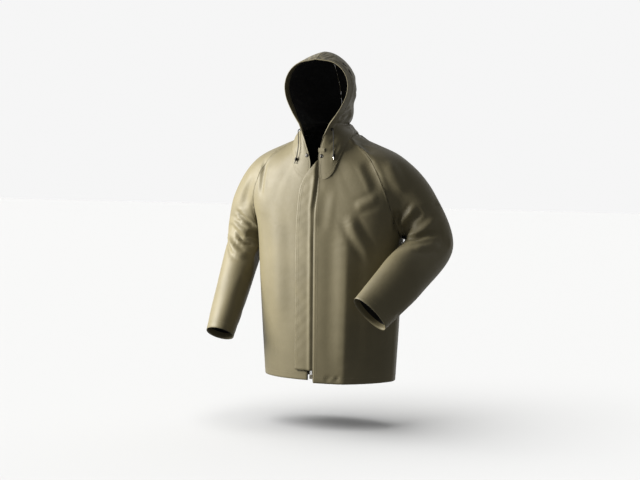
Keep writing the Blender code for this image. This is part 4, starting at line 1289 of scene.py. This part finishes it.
def make_cords():
    for side, word in WORDS.items():
        route = CORDS[side]
        line = through(route, np.linspace(0, 1, 40))
        cord = tube_mesh("drawcord_end_" + word, line, CORD_R, CORD_BRAID)
        declare(cord, "drawcord", "drawcord_" + word, body="torso")
        lock_axis = unit(through(route, np.array([0.86])) - through(route, np.array([0.80])))[0]
        lock = turned("cord_lock_barrel_" + word, BEAD, middle_of("cord_lock_" + word), lock_axis,
                      LOCK_PLASTIC, "cord_lock_" + word, "cord_lock_plastic", "cord_lock_" + word,
                      steps=32, closed=True)
        metal = side == LEFT
        tip = tube_mesh("cord_tip_" + word, through(route, np.linspace(TIP_START[side], 1.0, 12)),
                        CORD_R * 1.08, BRIGHT_METAL if metal else CORD_BRAID, sides=14,
                        swell=TIP_SWELL[side])
        declare(tip, "dark_metal" if metal else "drawcord", body="torso")


# ---------------------------------------------------------------- throat tab, hidden cord and hanger loop
def make_tab():
    """The small tab that carries the wearer's left throat snap: folded cloth whose rim has the painted edge
    highlight.
    """
    low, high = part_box("throat_tab")
    x = np.linspace(low.x, high.x, 13)
    z = np.linspace(low.z, high.z, 9)
    grid = np.array([[(a, (low.y + high.y) / 2 - 0.0004 + 0.0006 * ((a - x[0]) / (x[-1] - x[0]) - 0.5), b)
                      for a in x] for b in z])
    grid[..., 1] -= 0.0007 * np.sin(math.pi * np.linspace(0, 1, 9))[:, None]
    out = normals(grid, 1)
    piece = Piece("throat_tab_cloth")
    for line in (1, -2):
        piece.stitches(grid[1:-1, line], out[1:-1, line], pitch=0.0026, length=0.0019)
        piece.stitches(grid[line, 1:-1], out[line, 1:-1], pitch=0.0026, length=0.0019)
    piece.sheet(grid, 1, thickness=0.0013)
    declare(piece.build(), "shell_fabric", "throat_tab", body="torso")


def make_hanger():
    """The webbing loop inside the nape, sewn down at both ends."""
    low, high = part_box("hanger_loop")
    y, thick = (low.y + high.y) / 2, 0.0012
    half, top = (high.x - low.x) / 2 - thick / 2, high.z - thick / 2
    path = through([(-half, y, low.z), (-half, y, top - 0.008), (-half * 0.80, y, top), (0, y, top),
                    (half * 0.80, y, top), (half, y, top - 0.008), (half, y, low.z)], np.linspace(0, 1, 50))
    across = np.linspace(low.y, high.y, 5)
    grid = np.array([[(p[0], a, p[2]) for a in across] for p in path])
    piece = Piece("hanger_webbing", [WEBBING, WEBBING, WEBBING, THREAD])
    piece.sheet(grid, 1, thickness=thick)
    declare(piece.build(), "webbing", "hanger_loop", body="torso")


def make_hidden_cord():
    """The middle of the drawcord, inside the face hem."""
    lines = []
    for side in (RIGHT, LEFT):
        grid = finer(grids["hood_" + WORDS[side]])
        out = normals(grid, OUTWARD["hood_" + WORDS[side]])
        lines.append(face_line(grid[:, 0], grid[:, 2], out[:, 1], *CORD_LINE)[2 * SKIRT_ROWS:-3])
    line = np.concatenate([lines[0], lines[1][::-1]])
    cord = tube_mesh("drawcord_in_hem", line, CORD_R * 0.95, CORD_BRAID, sides=8)
    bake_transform(cord)
    declare(cord, "drawcord", "drawcord_middle")


make_fronts()
make_back()
make_sleeves()
make_hood()
make_flap()
make_fittings()
make_zip()
make_slider()
make_cords()
make_tab()
make_hanger()
make_hidden_cord()

# ---------------------------------------------------------------- floor, light and camera
ROOM_LEVEL, BACKDROP_LEVEL = 0.19, 0.92   # the world's strength on the camera's side and behind the jacket
KEY_POWER, KEY_SIZE, KEY_DISTANCE = 104, 1.0, 1.9
KEY_AZIMUTH, KEY_ELEVATION = -56, 17
FLOOR_LIGHT, FLOOR_HALF, FLOOR_GAP = 3.95, 14.0, 0.16     # gap under the lowest hem
AZIMUTH, ELEVATION, DISTANCE = math.radians(27), math.radians(4), 5.14
TARGET = Vector((math.cos(AZIMUTH), math.sin(AZIMUTH), 0)) * -0.034 + Vector((0, 0, -0.323))


def aim(obj, target):
    obj.rotation_euler = (Vector(target) - obj.location).to_track_quat("-Z", "Y").to_euler()


def make_camera():
    camera = link(bpy.data.objects.new("camera", bpy.data.cameras.new("camera")))
    camera.data.lens, camera.data.sensor_width = 85, 36
    camera.location = TARGET + DISTANCE * Vector((math.sin(AZIMUTH) * math.cos(ELEVATION),
                                                  -math.cos(AZIMUTH) * math.cos(ELEVATION),
                                                  math.sin(ELEVATION)))
    aim(camera, TARGET)
    bpy.context.scene.camera = camera


def area_light(name, azimuth, elevation, distance, size, power, colour=(1, 1, 1)):
    """A soft square light: its azimuth is measured as the camera's is."""
    light = link(bpy.data.objects.new(name, bpy.data.lights.new(name, "AREA")))
    light.data.size, light.data.energy, light.data.color = size, power, colour
    a, e = math.radians(azimuth), math.radians(elevation)
    centre = Vector((0, 0, -0.35))
    light.location = centre + distance * Vector((math.sin(a) * math.cos(e), -math.cos(a) * math.cos(e),
                                                 math.sin(e)))
    aim(light, centre)
    return light


def studio_world():
    """A bright backdrop behind the jacket and a dimmer room on the camera's side."""
    world = bpy.data.worlds.new("studio")
    bpy.context.scene.world = world
    world.use_nodes = True
    tree = world.node_tree
    towards = tree.nodes.new("ShaderNodeTexCoord").outputs["Generated"]
    facing = node(tree, "ShaderNodeVectorMath", operation="DOT_PRODUCT")
    facing.inputs[1].default_value = (-math.sin(AZIMUTH), math.cos(AZIMUTH), 0)
    tree.links.new(towards, facing.inputs[0])
    level = node(tree, "ShaderNodeMapRange", interpolation_type="SMOOTHSTEP")
    for socket, value in (("From Min", -0.2), ("From Max", 0.9), ("To Min", ROOM_LEVEL),
                          ("To Max", BACKDROP_LEVEL)):
        level.inputs[socket].default_value = value
    tree.links.new(facing.outputs["Value"], level.inputs["Value"])
    tree.nodes["Background"].inputs["Color"].default_value = (1, 1, 1, 1)
    tree.links.new(level.outputs["Result"], tree.nodes["Background"].inputs["Strength"])


def lit_only(light, name, objects):
    """Keeps a light to some objects."""
    group = bpy.data.collections.new(name)
    for obj in objects:
        group.objects.link(obj)
    light.light_linking.receiver_collection = group


def make_stage():
    jacket = [o for o in bpy.context.scene.objects if o.type == "MESH" and not o.hide_render]
    key = area_light("key", KEY_AZIMUTH, KEY_ELEVATION, KEY_DISTANCE, KEY_SIZE, KEY_POWER,
                     (1.0, 0.975, 0.93))
    lit_only(key, "lit_by_key", jacket)
    mat = shader("pale_floor", (0.60, 0.60, 0.595), 0.9, Specular_IOR_Level=0.1)[0]
    z = CAD_BOX[0].z - FLOOR_GAP
    corners = [(x * FLOOR_HALF, y * FLOOR_HALF, z) for x, y in ((-1, -1), (1, -1), (1, 1), (-1, 1))]
    floor = mesh_object("floor", corners, [(0, 1, 2, 3)], [mat], smooth_faces=False)
    floor.visible_diffuse = floor.visible_glossy = False
    above = link(bpy.data.objects.new("floor_light", bpy.data.lights.new("floor_light", "SUN")))
    above.data.energy, above.data.angle = FLOOR_LIGHT, math.radians(70)
    above.location = (-1.0, -0.6, 3.0)
    aim(above, (0, 0, 0))
    lit_only(above, "lit_from_above", [floor])
    studio_world()
    bpy.context.scene.view_settings.view_transform = "Standard"


make_camera()
make_stage()
